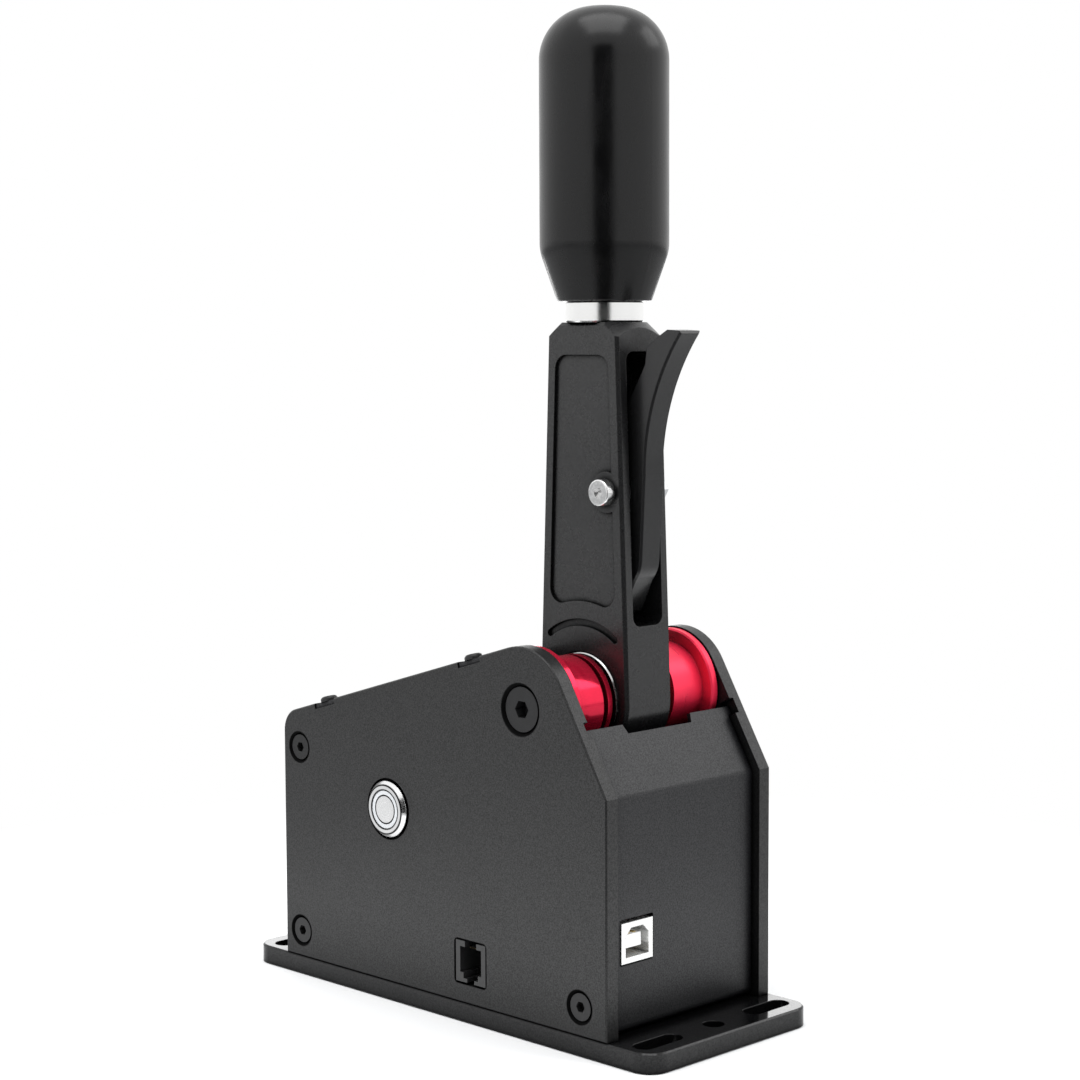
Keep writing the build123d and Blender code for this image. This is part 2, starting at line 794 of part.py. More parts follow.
with BuildPart() as base_screws:
    with Locations(*[facing(x, y, sink_margin - seat_gap, (0, 0, -1))
                     for x, y in base_screw_points]):
        add(side_screw)
base_screws.part.label = "base_screws"
export_step(base_screws.part, "parts/base_screws.step")


# Cross bars, tapped at both ends and from below
def cross_bar(x):
    with BuildPart() as bar:
        with Locations((x, 0, bar_foot_z + bar_height / 2)):
            Box(bar_depth, bar_width, bar_height)
        chamfer(bar.edges().filter_by(Axis.Y), bar_edge_chamfer)
        with Locations(*[facing(x, side * inner_face, low_screw_z, (0, side, 0))
                         for side in sides]):
            Cylinder(side_screw_shank / 2 + thread_gap, 2 * tapped_depth, mode=Mode.SUBTRACT)
        with Locations(*[(x, side * base_screw_spacing / 2, bar_foot_z) for side in sides]):
            Cylinder(side_screw_shank / 2 + thread_gap, 2 * base_tapped_depth,
                     mode=Mode.SUBTRACT)
    return bar.part


front_bar = cross_bar(front_screw_x)
rear_bar = cross_bar(rear_screw_x)
bumper_places = [facing(x, side * bumper_spacing / 2, bumper_z, (turn, 0, 0))
                 for x, turn in ((tower_face_front, -1), (tower_face_rear, 1)) for side in sides]
rod_bore = rod_diameter / 2 + seat_gap
rod_bore_depth = tower_thickness - rod_setback + seat_gap
stem_bore = bumper_stem_diameter / 2 + seat_gap
stem_bore_depth = bumper_stem_length + hole_gap

with BuildPart() as cross_bar_front:
    add(front_bar)
    with Locations((tower_face_front + tower_thickness / 2, 0,
                    (low_screw_z + tower_top_z) / 2)):
        Box(tower_thickness, tower_width, tower_top_z - low_screw_z)
    with Locations(*[(front_screw_x, side * base_screw_spacing / 2, bar_foot_z)
                     for side in sides]):
        Cylinder(side_screw_shank / 2 + thread_gap, 2 * base_tapped_depth, mode=Mode.SUBTRACT)
    with Locations(facing(tower_face_front, 0, rod_z, (-1, 0, 0))):
        Cylinder(rod_bore, 2 * rod_bore_depth, mode=Mode.SUBTRACT)
    with Locations(*bumper_places[:2]):
        Cylinder(stem_bore, 2 * stem_bore_depth, mode=Mode.SUBTRACT)
cross_bar_front.part.label = "cross_bar_front"
export_step(cross_bar_front.part, "parts/cross_bar_front.step")

with BuildPart() as cross_bar_rear:
    add(rear_bar)
cross_bar_rear.part.label = "cross_bar_rear"
export_step(cross_bar_rear.part, "parts/cross_bar_rear.step")

with BuildPart() as cross_rod_top:
    with Locations(facing(rear_screw_x, 0, high_screw_z, (0, 1, 0))):
        Cylinder(cross_rod_diameter / 2, bar_width)
    with Locations(*[facing(rear_screw_x, side * inner_face, high_screw_z, (0, side, 0))
                     for side in sides]):
        Cylinder(side_screw_shank / 2 + thread_gap, 2 * tapped_depth, mode=Mode.SUBTRACT)
cross_rod_top.part.label = "cross_rod_top"
export_step(cross_rod_top.part, "parts/cross_rod_top.step")

with BuildPart() as rod_block_rear:
    with Locations((tower_rear_x, 0, (base_thickness + tower_top_z) / 2)):
        Box(tower_thickness, tower_width, tower_top_z - base_thickness)
    chamfer(rod_block_rear.edges().filter_by(Axis.Z), bar_edge_chamfer)
    with Locations(facing(tower_face_rear, 0, rod_z, (1, 0, 0))):
        Cylinder(rod_bore, 2 * rod_bore_depth, mode=Mode.SUBTRACT)
    with Locations(*bumper_places[2:]):
        Cylinder(stem_bore, 2 * stem_bore_depth, mode=Mode.SUBTRACT)
    with Locations(*[(x, y, base_thickness) for x, y in tower_screw_points]):
        Cylinder(tower_screw_shank / 2 + thread_gap, 2 * tower_tapped_depth, mode=Mode.SUBTRACT)
rod_block_rear.part.label = "rod_block_rear"
export_step(rod_block_rear.part, "parts/rod_block_rear.step")

with BuildPart() as rod_block_screws:
    with Locations(*[facing(x, y, sink_margin - seat_gap, (0, 0, -1))
                     for x, y in tower_screw_points]):
        add(tower_screw)
rod_block_screws.part.label = "rod_block_screws"
export_step(rod_block_screws.part, "parts/rod_block_screws.step")

with BuildPart() as guide_rod:
    with Locations(facing(pivot_x, 0, rod_z, (1, 0, 0))):
        Cylinder(rod_diameter / 2, tower_face_front - tower_face_rear
                 + 2 * (tower_thickness - rod_setback))
    chamfer(guide_rod.edges().filter_by(GeomType.CIRCLE), rod_chamfer)
guide_rod.part.label = "guide_rod"
export_step(guide_rod.part, "parts/guide_rod.step")

bumper = spin([(0, -bumper_stem_length), (bumper_stem_diameter / 2, -bumper_stem_length),
               (bumper_stem_diameter / 2, 0), (bumper_diameter / 2, 0),
               (bumper_diameter / 2, bumper_length - bumper_edge),
               (bumper_diameter / 2 - bumper_edge, bumper_length), (0, bumper_length)])
with BuildPart() as bumpers:
    with Locations(*bumper_places):
        add(bumper)
bumpers.part.label = "bumpers"
export_step(bumpers.part, "parts/bumpers.step")

# Pivot spacers, each a stub axle held by the pivot screw of its side
bearing_face = bearing_web / 2 + bearing_width
spacer_end = inner_face - half_lever - spacer_end_gap
spacer_groove_end = spacer_end - spacer_lip
spacer_tip = inner_face - bearing_web / 2 - spacer_tip_gap
journal_radius = bearing_bore / 2 - seat_gap
spacer = spin([
    (0, 0), (spacer_flange_radius - spacer_chamfer, 0), (spacer_flange_radius, spacer_chamfer),
    (spacer_flange_radius, spacer_flange_thickness - spacer_chamfer),
    (spacer_flange_radius - spacer_chamfer, spacer_flange_thickness),
    (spacer_barrel_radius, spacer_flange_thickness),
    (spacer_barrel_radius, spacer_groove_end - spacer_groove_width),
    (spacer_barrel_radius - spacer_groove_depth, spacer_groove_end - spacer_groove_width),
    (spacer_barrel_radius - spacer_groove_depth, spacer_groove_end),
    (spacer_barrel_radius, spacer_groove_end),
    (spacer_barrel_radius, spacer_end - spacer_chamfer),
    (spacer_barrel_radius - spacer_chamfer, spacer_end), (spacer_neck_radius, spacer_end),
    (spacer_neck_radius, inner_face - bearing_face), (journal_radius, inner_face - bearing_face),
    (journal_radius, spacer_tip), (0, spacer_tip)])

with BuildPart() as spacer_near:
    with Locations(facing(pivot_x, -inner_face, pivot_z, (0, 1, 0))):
        add(spacer)
        Cylinder(pivot_screw_shank / 2 + thread_gap, 2 * spacer_tapped_depth,
                 mode=Mode.SUBTRACT)
spacer_near.part.label = "spacer_near"
export_step(spacer_near.part, "parts/spacer_near.step")

with BuildPart() as spacer_far:
    with Locations(facing(pivot_x, inner_face, pivot_z, (0, -1, 0))):
        add(spacer)
        Cylinder(pivot_screw_shank / 2 + thread_gap, 2 * spacer_tapped_depth,
                 mode=Mode.SUBTRACT)
spacer_far.part.label = "spacer_far"
export_step(spacer_far.part, "parts/spacer_far.step")

# Bearings
ball_pitch_radius = (inner_race_radius + outer_race_radius) / 2
bearing_places = [facing(pivot_x, side * (bearing_web / 2 + bearing_width / 2), pivot_z,
                         (0, side, 0)) for side in sides]


def bearing_ring(outer_radius, inner_radius, edge_slice):
    with BuildPart() as ring:
        Cylinder(outer_radius, bearing_width)
        Cylinder(inner_radius, bearing_width, mode=Mode.SUBTRACT)
        circles = ring.edges().filter_by(GeomType.CIRCLE).sort_by(SortBy.RADIUS)
        chamfer(circles[edge_slice], bearing_chamfer)
        Torus(ball_pitch_radius, race_groove_radius, mode=Mode.SUBTRACT)
    return ring.part


outer_ring = bearing_ring(bearing_outer / 2, outer_race_radius, slice(-2, None))
inner_ring = bearing_ring(inner_race_radius, bearing_bore / 2, slice(0, 2))

with BuildPart() as bearing_outer_rings:
    with Locations(*bearing_places):
        add(outer_ring)
bearing_outer_rings.part.label = "bearing_outer_rings"
export_step(bearing_outer_rings.part, "parts/bearing_outer_rings.step")

with BuildPart() as bearing_inner_rings:
    with Locations(*bearing_places):
        add(inner_ring)
bearing_inner_rings.part.label = "bearing_inner_rings"
export_step(bearing_inner_rings.part, "parts/bearing_inner_rings.step")

with BuildPart() as bearing_balls:
    with Locations(*bearing_places):
        with PolarLocations(ball_pitch_radius, ball_count):
            Sphere(ball_radius)
bearing_balls.part.label = "bearing_balls"
export_step(bearing_balls.part, "parts/bearing_balls.step")

seal_ring = sleeve(2 * (outer_race_radius - seat_gap), 2 * (inner_race_radius + running_gap),
                   seal_thickness)
seal_shift = bearing_width / 2 - seal_inset - seal_thickness / 2
with BuildPart() as bearing_seals:
    with Locations(*bearing_places):
        with Locations((0, 0, seal_shift), (0, 0, -seal_shift)):
            add(seal_ring)
bearing_seals.part.label = "bearing_seals"
export_step(bearing_seals.part, "parts/bearing_seals.step")

# Lever arm: hub, tapering arm with the trigger slot, and the fork below
arm_rise = lever_top_z - pivot_z
arm_reach = hypot(lever_top_half_width, arm_rise)
arm_tangent = atan2(arm_rise, lever_top_half_width) - acos(hub_radius / arm_reach)
arm_foot_half_width = hub_radius * cos(arm_tangent)
arm_foot_rise = hub_radius * sin(arm_tangent)
arm_taper = (arm_foot_half_width - lever_top_half_width) / (arm_rise - arm_foot_rise)


def arm_half_width(z):
    return arm_foot_half_width - (z - pivot_z - arm_foot_rise) * arm_taper


pocket_top_z = lever_top_z - pocket_top_drop
pocket_foot_z = pivot_z + groove_radius
pocket_top_half = arm_half_width(pocket_top_z) - pocket_inset
pocket_foot_half = arm_half_width(pocket_foot_z) - pocket_inset
slot_foot_z = base_thickness + trigger_slot_foot_height
slot_head_z = lever_top_z - trigger_slot_head_drop
slot_floor_x = pivot_x - trigger_slot_setback
slot_front_x = pivot_x + 2 * hub_radius
spring_z = pin_z + trigger_spring_rise
sensor_z = pin_z - magnet_drop
tail_foot_z = drive_pin_z - fork_reach
fork_head_z = drive_pin_z + fork_slot_headroom
crown_edge = 2 * hub_radius
bearing_seat = bearing_outer / 2 + seat_gap
crown = spin([(0, 0), (crown_edge, 0), (crown_edge, lever_top_z + lever_crown_radius - crown_edge),
              (lever_crown_radius, lever_top_z), (0, lever_top_z)])
groove_arc = CenterArc((pivot_x, pivot_z), groove_radius, 90 - groove_half_angle,
                       2 * groove_half_angle)

with BuildPart() as slot_form:
    with BuildSketch(Plane.XZ):
        with BuildLine():
            FilletPolyline((slot_front_x, slot_foot_z), (slot_floor_x, slot_foot_z),
                           (slot_floor_x, slot_head_z), (slot_front_x, slot_head_z),
                           radius=trigger_slot_corner)
            Line((slot_front_x, slot_head_z), (slot_front_x, slot_foot_z))
        make_face()
    extrude(amount=trigger_slot_width / 2, both=True)
    fillet(slot_form.edges().filter_by(Axis.X).group_by(Axis.Z)[0], trigger_slot_foot_corner)

with BuildPart() as lever_arm:
    with BuildSketch(Plane.XZ):
        with Locations((pivot_x, pivot_z)):
            Circle(hub_radius)
        with BuildLine():
            Polyline((pivot_x - lever_top_half_width, lever_top_z),
                     (pivot_x + lever_top_half_width, lever_top_z),
                     (pivot_x + arm_foot_half_width, pivot_z + arm_foot_rise),
                     (pivot_x - arm_foot_half_width, pivot_z + arm_foot_rise), close=True)
        make_face()
    extrude(amount=half_lever, both=True)
    chamfer(lever_arm.faces().filter_by(Axis.Y).edges(), lever_chamfer)
    with Locations((pivot_x, 0, 0)):
        add(crown, mode=Mode.INTERSECT)
    with Locations((pivot_x, 0, (tail_foot_z + pivot_z) / 2)):
        Box(tail_width, tail_thickness, pivot_z - tail_foot_z)
    for side in sides:
        with BuildSketch(Plane.XZ.offset(-side * half_lever)) as pocket:
            with BuildLine():
                Polyline((pivot_x - pocket_top_half, pocket_top_z),
                         (pivot_x + pocket_top_half, pocket_top_z),
                         (pivot_x + pocket_foot_half, pocket_foot_z),
                         (pivot_x - pocket_foot_half, pocket_foot_z), close=True)
            make_face()
            with Locations((pivot_x, pivot_z)):
                Circle(pocket_foot_radius, mode=Mode.SUBTRACT)
            fillet(pocket.vertices(), pocket_corner_radius)
            with Locations((pin_x, pin_z)):
                Circle(pin_boss_radius, mode=Mode.SUBTRACT)
        extrude(amount=side * pocket_depth, mode=Mode.SUBTRACT)
        with BuildSketch(Plane.XZ.offset(-side * half_lever)):
            SlotArc(groove_arc, groove_width)
        extrude(amount=side * groove_depth, mode=Mode.SUBTRACT)
        with Locations(facing(pivot_x, side * (bearing_web + bearing_width) / 2, pivot_z,
                              (0, side, 0))):
            Cylinder(bearing_seat, bearing_width, mode=Mode.SUBTRACT)
    with Locations(facing(pivot_x, 0, pivot_z, (0, 1, 0))):
        Cylinder(bearing_web_radius, lever_thickness, mode=Mode.SUBTRACT)
    add(slot_form.part, mode=Mode.SUBTRACT)
    with Locations((pivot_x, 0, fork_head_z - pivot_z / 4)):
        Box(fork_slot_width, tail_thickness, pivot_z / 2, mode=Mode.SUBTRACT)
    with Locations(facing(pin_x, 0, pin_z, (0, 1, 0))):
        Cylinder(trigger_screw_shank / 2 + thread_gap, lever_thickness, mode=Mode.SUBTRACT)
    with Locations((pivot_x, 0, lever_top_z)):
        Cylinder(stud_diameter / 2 + thread_gap, 2 * trigger_slot_head_drop, mode=Mode.SUBTRACT)
    with Locations(facing(slot_floor_x, 0, spring_z, (1, 0, 0))):
        Cylinder(trigger_spring_outer / 2 + spring_seat_gap, 2 * spring_seat_depth,
                 mode=Mode.SUBTRACT)
lever_arm.part.label = "lever_arm"
export_step(lever_arm.part, "parts/lever_arm.step")

# Knob, its insert, the collar and the stud
knob_foot_z = lever_top_z + collar_height
with BuildPart() as knob_stud:
    stud_foot_z = slot_head_z + stud_end_gap
    with Locations((pivot_x, 0, (stud_foot_z + knob_foot_z + stud_in_knob) / 2)):
        Cylinder(stud_diameter / 2, knob_foot_z + stud_in_knob - stud_foot_z)
    chamfer(knob_stud.edges().filter_by(GeomType.CIRCLE), rod_chamfer)
knob_stud.part.label = "knob_stud"
export_step(knob_stud.part, "parts/knob_stud.step")

with BuildPart() as knob_collar:
    with Locations((pivot_x, 0, lever_top_z + collar_height / 2)):
        Cylinder(collar_radius, collar_height)
        chamfer(knob_collar.edges().filter_by(GeomType.CIRCLE), collar_chamfer)
        Cylinder(stud_diameter / 2 + hole_gap, collar_height, mode=Mode.SUBTRACT)
knob_collar.part.label = "knob_collar"
export_step(knob_collar.part, "parts/knob_collar.step")

with BuildPart() as knob:
    with BuildSketch(Plane.XZ.shift_origin((pivot_x, 0, knob_foot_z))):
        with BuildLine():
            FilletPolyline((0, 0), (knob_foot_radius, 0), (knob_radius, knob_taper_height),
                           (knob_radius, knob_height), (0, knob_height),
                           radius=(knob_foot_round, knob_taper_blend, knob_dome_radius))
            Line((0, knob_height), (0, 0))
        make_face()
    revolve(axis=Axis((pivot_x, 0, 0), (0, 0, 1)))
    with Locations((pivot_x, 0, knob_foot_z)):
        Cylinder(insert_diameter / 2 + seat_gap, 2 * (insert_length + seat_gap),
                 mode=Mode.SUBTRACT)
        Cylinder(stud_diameter / 2 + hole_gap, 2 * (stud_in_knob + stud_end_gap),
                 mode=Mode.SUBTRACT)
knob.part.label = "knob"
export_step(knob.part, "parts/knob.step")

with BuildPart() as knob_insert:
    with Locations((pivot_x, 0, knob_foot_z + insert_length / 2)):
        Cylinder(insert_diameter / 2, insert_length)
        Cylinder(stud_diameter / 2 + thread_gap, insert_length, mode=Mode.SUBTRACT)
knob_insert.part.label = "knob_insert"
export_step(knob_insert.part, "parts/knob_insert.step")


# Trigger
def trigger_point(share):
    return (pin_x + share[0] * trigger_reach,
            pin_z + share[1] * (trigger_rise if share[1] > 0 else trigger_drop))


def halfway(first, second):
    return ((first[0] + second[0]) / 2, (first[1] + second[1]) / 2)


half_trigger = trigger_width / 2
trigger_back_x = trigger_point(back_low_share)[0]
trigger_tail_x = trigger_point(tail_back_share)[0]
soft_edges = [trigger_point(blade_mid_share), trigger_point(nose_mid_share),
              halfway(trigger_point(blade_foot_share), trigger_point(grip_foot_share)),
              halfway(trigger_point(nose_end_share), trigger_point(foot_front_share))]
nose_end_x, nose_end_z = trigger_point(nose_end_share)
with BuildPart() as trigger:
    with BuildSketch(Plane.XZ):
        with BuildLine():
            ThreePointArc(trigger_point(tip_front_share), trigger_point(blade_mid_share),
                          trigger_point(blade_foot_share))
            Line(trigger_point(blade_foot_share), trigger_point(grip_foot_share))
            ThreePointArc(trigger_point(grip_foot_share), trigger_point(nose_mid_share),
                          trigger_point(nose_end_share))
            Polyline(*[trigger_point(share) for share in (
                nose_end_share, foot_front_share, foot_back_share, tail_back_share,
                tail_top_share, hub_back_share, back_low_share, back_mid_share, heel_low_share,
                heel_mid_share, heel_top_share, crest_low_share, crest_back_share,
                crest_front_share, tip_front_share)])
        make_face()
        with Locations((pin_x, pin_z)):
            Circle(trigger_hub_radius)
    extrude(amount=half_trigger, both=True)
    fillet(trigger.edges().filter_by(Axis.Y).sort_by_distance((nose_end_x, 0, nose_end_z))[0],
           trigger_nose_blend)
    chamfer([trigger.edges().sort_by_distance((x, side * half_trigger, z))[0]
             for x, z in soft_edges for side in sides], trigger_chamfer)
    for share in (foot_front_share, foot_back_share):
        x, z = trigger_point(share)
        fillet(trigger.edges().filter_by(Axis.Y).sort_by_distance((x, 0, z))[0],
               trigger_foot_round)
    with Locations(facing(pin_x, 0, pin_z, (0, 1, 0))):
        Cylinder(trigger_screw_shank / 2 + running_gap, trigger_width, mode=Mode.SUBTRACT)
    with Locations(facing(trigger_back_x, 0, spring_z, (-1, 0, 0))):
        Cylinder(trigger_spring_outer / 2 + spring_seat_gap, 2 * spring_seat_depth,
                 mode=Mode.SUBTRACT)
    with Locations(facing(trigger_tail_x, 0, sensor_z, (-1, 0, 0))):
        Cylinder(magnet_diameter / 2 + seat_gap, 2 * (magnet_thickness + seat_gap),
                 mode=Mode.SUBTRACT)
trigger.part.label = "trigger"
export_step(trigger.part, "parts/trigger.step")

trigger_bolt = headed_screw(trigger_screw_head, trigger_screw_head_height, trigger_screw_dome,
                            trigger_screw_shank, trigger_screw_length, trigger_screw_socket,
                            trigger_screw_socket_depth)
with BuildPart() as trigger_screw:
    with Locations(facing(pin_x, -half_lever, pin_z, (0, -1, 0))):
        add(trigger_bolt)
trigger_screw.part.label = "trigger_screw"
export_step(trigger_screw.part, "parts/trigger_screw.step")


def hex_nut(flats, height, bore):
    with BuildPart() as nut:
        with BuildSketch():
            RegularPolygon(radius=flats / 2, side_count=6, major_radius=False)
            Circle(bore, mode=Mode.SUBTRACT)
        extrude(amount=height)
    return nut.part


trigger_nut_blank = hex_nut(trigger_nut_flats, trigger_nut_height,
                            trigger_screw_shank / 2 + thread_gap)
with BuildPart() as trigger_nut:
    with Locations(facing(pin_x, half_lever, pin_z, (0, 1, 0))):
        add(trigger_nut_blank)
trigger_nut.part.label = "trigger_nut"
export_step(trigger_nut.part, "parts/trigger_nut.step")

washer_room = trigger_slot_width / 2 - half_trigger
trigger_washer = sleeve(trigger_washer_outer, trigger_screw_shank + 2 * running_gap,
                        washer_room - 2 * washer_side_gap)
with BuildPart() as trigger_washers:
    with Locations(*[facing(pin_x, side * (half_trigger + washer_room / 2), pin_z, (0, side, 0))
                     for side in sides]):
        add(trigger_washer)
trigger_washers.part.label = "trigger_washers"
export_step(trigger_washers.part, "parts/trigger_washers.step")

trigger_spring_start = slot_floor_x - spring_seat_depth
trigger_spring_end = trigger_back_x + spring_seat_depth
trigger_coil = sleeve(trigger_spring_outer, trigger_spring_outer - 2 * trigger_spring_wire,
                      trigger_spring_end - trigger_spring_start - 2 * seat_gap)
with BuildPart() as trigger_spring:
    with Locations(facing((trigger_spring_start + trigger_spring_end) / 2, 0, spring_z,
                          (1, 0, 0))):
        add(trigger_coil)
trigger_spring.part.label = "trigger_spring"
export_step(trigger_spring.part, "parts/trigger_spring.step")

with BuildPart() as trigger_magnet:
    with Locations(facing(trigger_tail_x + magnet_thickness / 2, 0, sensor_z, (1, 0, 0))):
        Cylinder(magnet_diameter / 2, magnet_thickness)
trigger_magnet.part.label = "trigger_magnet"
export_step(trigger_magnet.part, "parts/trigger_magnet.step")

with BuildPart() as trigger_sensor_board:
    with Locations((slot_floor_x + sensor_board_thickness / 2, 0, sensor_z)):
        Box(sensor_board_thickness, sensor_board_width, sensor_board_length)
trigger_sensor_board.part.label = "trigger_sensor_board"
export_step(trigger_sensor_board.part, "parts/trigger_sensor_board.step")

with BuildPart() as trigger_sensor_chip:
    with Locations((slot_floor_x + sensor_board_thickness + sensor_chip_height / 2, 0,
                    sensor_z)):
        Box(sensor_chip_height, sensor_chip_side, sensor_chip_side)
trigger_sensor_chip.part.label = "trigger_sensor_chip"
export_step(trigger_sensor_chip.part, "parts/trigger_sensor_chip.step")

# Shuttle with its bush, drive pin, roller and magnet
shuttle_foot_z = base_thickness + shuttle_foot_height
shuttle_deck_z = base_thickness + shuttle_deck_height
cheek_top_z = base_thickness + shuttle_cheek_top
cheek_inner_y = tail_thickness / 2 + fork_side_gap
cheek_thickness = shuttle_width / 2 - cheek_inner_y
magnet_z = base_thickness + shuttle_magnet_height
with BuildPart() as shuttle:
    with Locations((pivot_x, 0, (shuttle_foot_z + shuttle_deck_z) / 2)):
        Box(shuttle_length, shuttle_width, shuttle_deck_z - shuttle_foot_z)
    with Locations(*[(pivot_x, side * (cheek_inner_y + cheek_thickness / 2),
                      (shuttle_foot_z + cheek_top_z) / 2) for side in sides]):
        Box(shuttle_cheek_length, cheek_thickness, cheek_top_z - shuttle_foot_z)
    chamfer(shuttle.edges().filter_by(Axis.Z), shuttle_edge_chamfer)
    with Locations(facing(pivot_x, 0, rod_z, (1, 0, 0))):
        Cylinder(bush_outer / 2 + seat_gap, shuttle_length, mode=Mode.SUBTRACT)
    with Locations(facing(pivot_x, 0, drive_pin_z, (0, 1, 0))):
        Cylinder(drive_pin_diameter / 2 + seat_gap, shuttle_width, mode=Mode.SUBTRACT)
    with Locations(facing(pivot_x, -shuttle_width / 2, magnet_z, (0, -1, 0))):
        Cylinder(shuttle_magnet_diameter / 2 + seat_gap, 2 * shuttle_magnet_thickness,
                 mode=Mode.SUBTRACT)
shuttle.part.label = "shuttle"
export_step(shuttle.part, "parts/shuttle.step")

shuttle_sleeve = sleeve(bush_outer, rod_diameter + 2 * running_gap, shuttle_length)
with BuildPart() as shuttle_bush:
    with Locations(facing(pivot_x, 0, rod_z, (1, 0, 0))):
        add(shuttle_sleeve)
shuttle_bush.part.label = "shuttle_bush"
export_step(shuttle_bush.part, "parts/shuttle_bush.step")

with BuildPart() as shuttle_pin:
    with Locations(facing(pivot_x, 0, drive_pin_z, (0, 1, 0))):
        Cylinder(drive_pin_diameter / 2, shuttle_width)
shuttle_pin.part.label = "shuttle_pin"
export_step(shuttle_pin.part, "parts/shuttle_pin.step")

roller_sleeve = sleeve(drive_roller_diameter, drive_pin_diameter + 2 * running_gap,
                       2 * (cheek_inner_y - drive_roller_gap))
with BuildPart() as drive_roller:
    with Locations(facing(pivot_x, 0, drive_pin_z, (0, 1, 0))):
        add(roller_sleeve)
drive_roller.part.label = "drive_roller"
export_step(drive_roller.part, "parts/drive_roller.step")

with BuildPart() as shuttle_magnet:
    with Locations(facing(pivot_x, (shuttle_magnet_thickness - shuttle_width) / 2, magnet_z,
                          (0, -1, 0))):
        Cylinder(shuttle_magnet_diameter / 2, shuttle_magnet_thickness)
shuttle_magnet.part.label = "shuttle_magnet"
export_step(shuttle_magnet.part, "parts/shuttle_magnet.step")

main_coil = sleeve(main_spring_outer, main_spring_outer - 2 * main_spring_wire,
                   spring_room - 2 * seat_gap)
with BuildPart() as spring_front:
    with Locations(facing(tower_face_front - spring_room / 2, 0, rod_z, (1, 0, 0))):
        add(main_coil)
spring_front.part.label = "spring_front"
export_step(spring_front.part, "parts/spring_front.step")

with BuildPart() as spring_rear:
    with Locations(facing(tower_face_rear + spring_room / 2, 0, rod_z, (1, 0, 0))):
        add(main_coil)
spring_rear.part.label = "spring_rear"
export_step(spring_rear.part, "parts/spring_rear.step")

# Main board on four standoffs inside the near side plate
with BuildPart() as main_board:
    with Locations((board_centre_x, board_y + board_thickness / 2, board_z)):
        Box(board_length, board_thickness, board_height)
    with Locations(*[facing(x, board_y, z, (0, 1, 0)) for x, z in board_hole_points]):
        Cylinder(board_hole_diameter / 2, 2 * board_thickness + overrun, mode=Mode.SUBTRACT)
main_board.part.label = "main_board"
export_step(main_board.part, "parts/main_board.step")

with BuildPart() as board_chips:
    with Locations((board_centre_x - board_length / 4, board_back_y + chip_height / 2,
                    board_z + chip_lift)):
        Box(chip_side, chip_height, chip_side)
    with Locations((pivot_x, board_back_y + chip_height / 2, magnet_z)):
        Box(small_chip_side, chip_height, small_chip_side)
board_chips.part.label = "board_chips"
export_step(board_chips.part, "parts/board_chips.step")

board_standoff = standoff(board_distance)
usb_board_foot_z = usb_board_top_z - usb_board_thickness
usb_standoff = standoff(usb_board_foot_z - base_thickness)
with BuildPart() as board_standoffs:
    with Locations(*[facing(x, -inner_face, z, (0, 1, 0)) for x, z in board_hole_points]):
        add(board_standoff)
board_standoffs.part.label = "board_standoffs"
export_step(board_standoffs.part, "parts/board_standoffs.step")

with BuildPart() as usb_standoffs:
    with Locations(*[(x, y, base_thickness) for x, y in usb_hole_points]):
        add(usb_standoff)
usb_standoffs.part.label = "usb_standoffs"
export_step(usb_standoffs.part, "parts/usb_standoffs.step")

with BuildPart() as board_screws:
    with Locations(*[facing(x, board_back_y, z, (0, 1, 0)) for x, z in board_hole_points]):
        add(board_screw)
    with Locations(*[(x, y, usb_board_top_z) for x, y in usb_hole_points]):
        add(board_screw)
board_screws.part.label = "board_screws"
export_step(board_screws.part, "parts/board_screws.step")

# Modular jack
jack_front_y = jack_recess - half_width
mouth_z = jack_z + jack_mouth_lift
mouth_foot_z = mouth_z - jack_mouth_height / 2
mouth_top_z = mouth_z + jack_mouth_height / 2
jack_foot_z = jack_z - jack_tall / 2
with BuildPart() as rj_jack:
    with BuildSketch(Plane.XZ.offset(-jack_front_y)):
        with Locations((jack_x, jack_z)):
            Rectangle(jack_width, jack_tall)
    extrude(amount=jack_front_y - board_y)
    with BuildSketch(Plane.XZ.offset(-jack_front_y)):
        with Locations((jack_x, mouth_z)):
            Rectangle(jack_mouth_width, jack_mouth_height)
        with Locations((jack_x, mouth_z + jack_tall / 2)):
            Rectangle(jack_key_width, jack_tall)
        with Locations((jack_x, mouth_foot_z)):
            Rectangle(jack_latch_width, 2 * jack_latch_drop)
        with Locations((jack_x, jack_foot_z)):
            Rectangle(jack_tongue_width, 2 * (mouth_foot_z - jack_foot_z))
    extrude(amount=-jack_mouth_depth, mode=Mode.SUBTRACT)
rj_jack.part.label = "rj_jack"
export_step(rj_jack.part, "parts/rj_jack.step")

contact_front_y = jack_front_y + jack_contact_start
contact_back_y = jack_front_y + jack_mouth_depth
contact_foot_z = mouth_top_z - jack_contact_thickness
with BuildPart() as rj_contacts:
    for step in (-1.5, -0.5, 0.5, 1.5):
        with BuildSketch(Plane.YZ.offset(jack_x + step * jack_contact_pitch)):
            with BuildLine():
                Polyline((contact_front_y, mouth_top_z), (contact_front_y, contact_foot_z),
                         (contact_back_y, contact_foot_z - jack_contact_fall),
                         (contact_back_y, mouth_top_z - jack_contact_fall), close=True)
            make_face()
        extrude(amount=jack_contact_width / 2, both=True)
rj_contacts.part.label = "rj_contacts"
export_step(rj_contacts.part, "parts/rj_contacts.step")

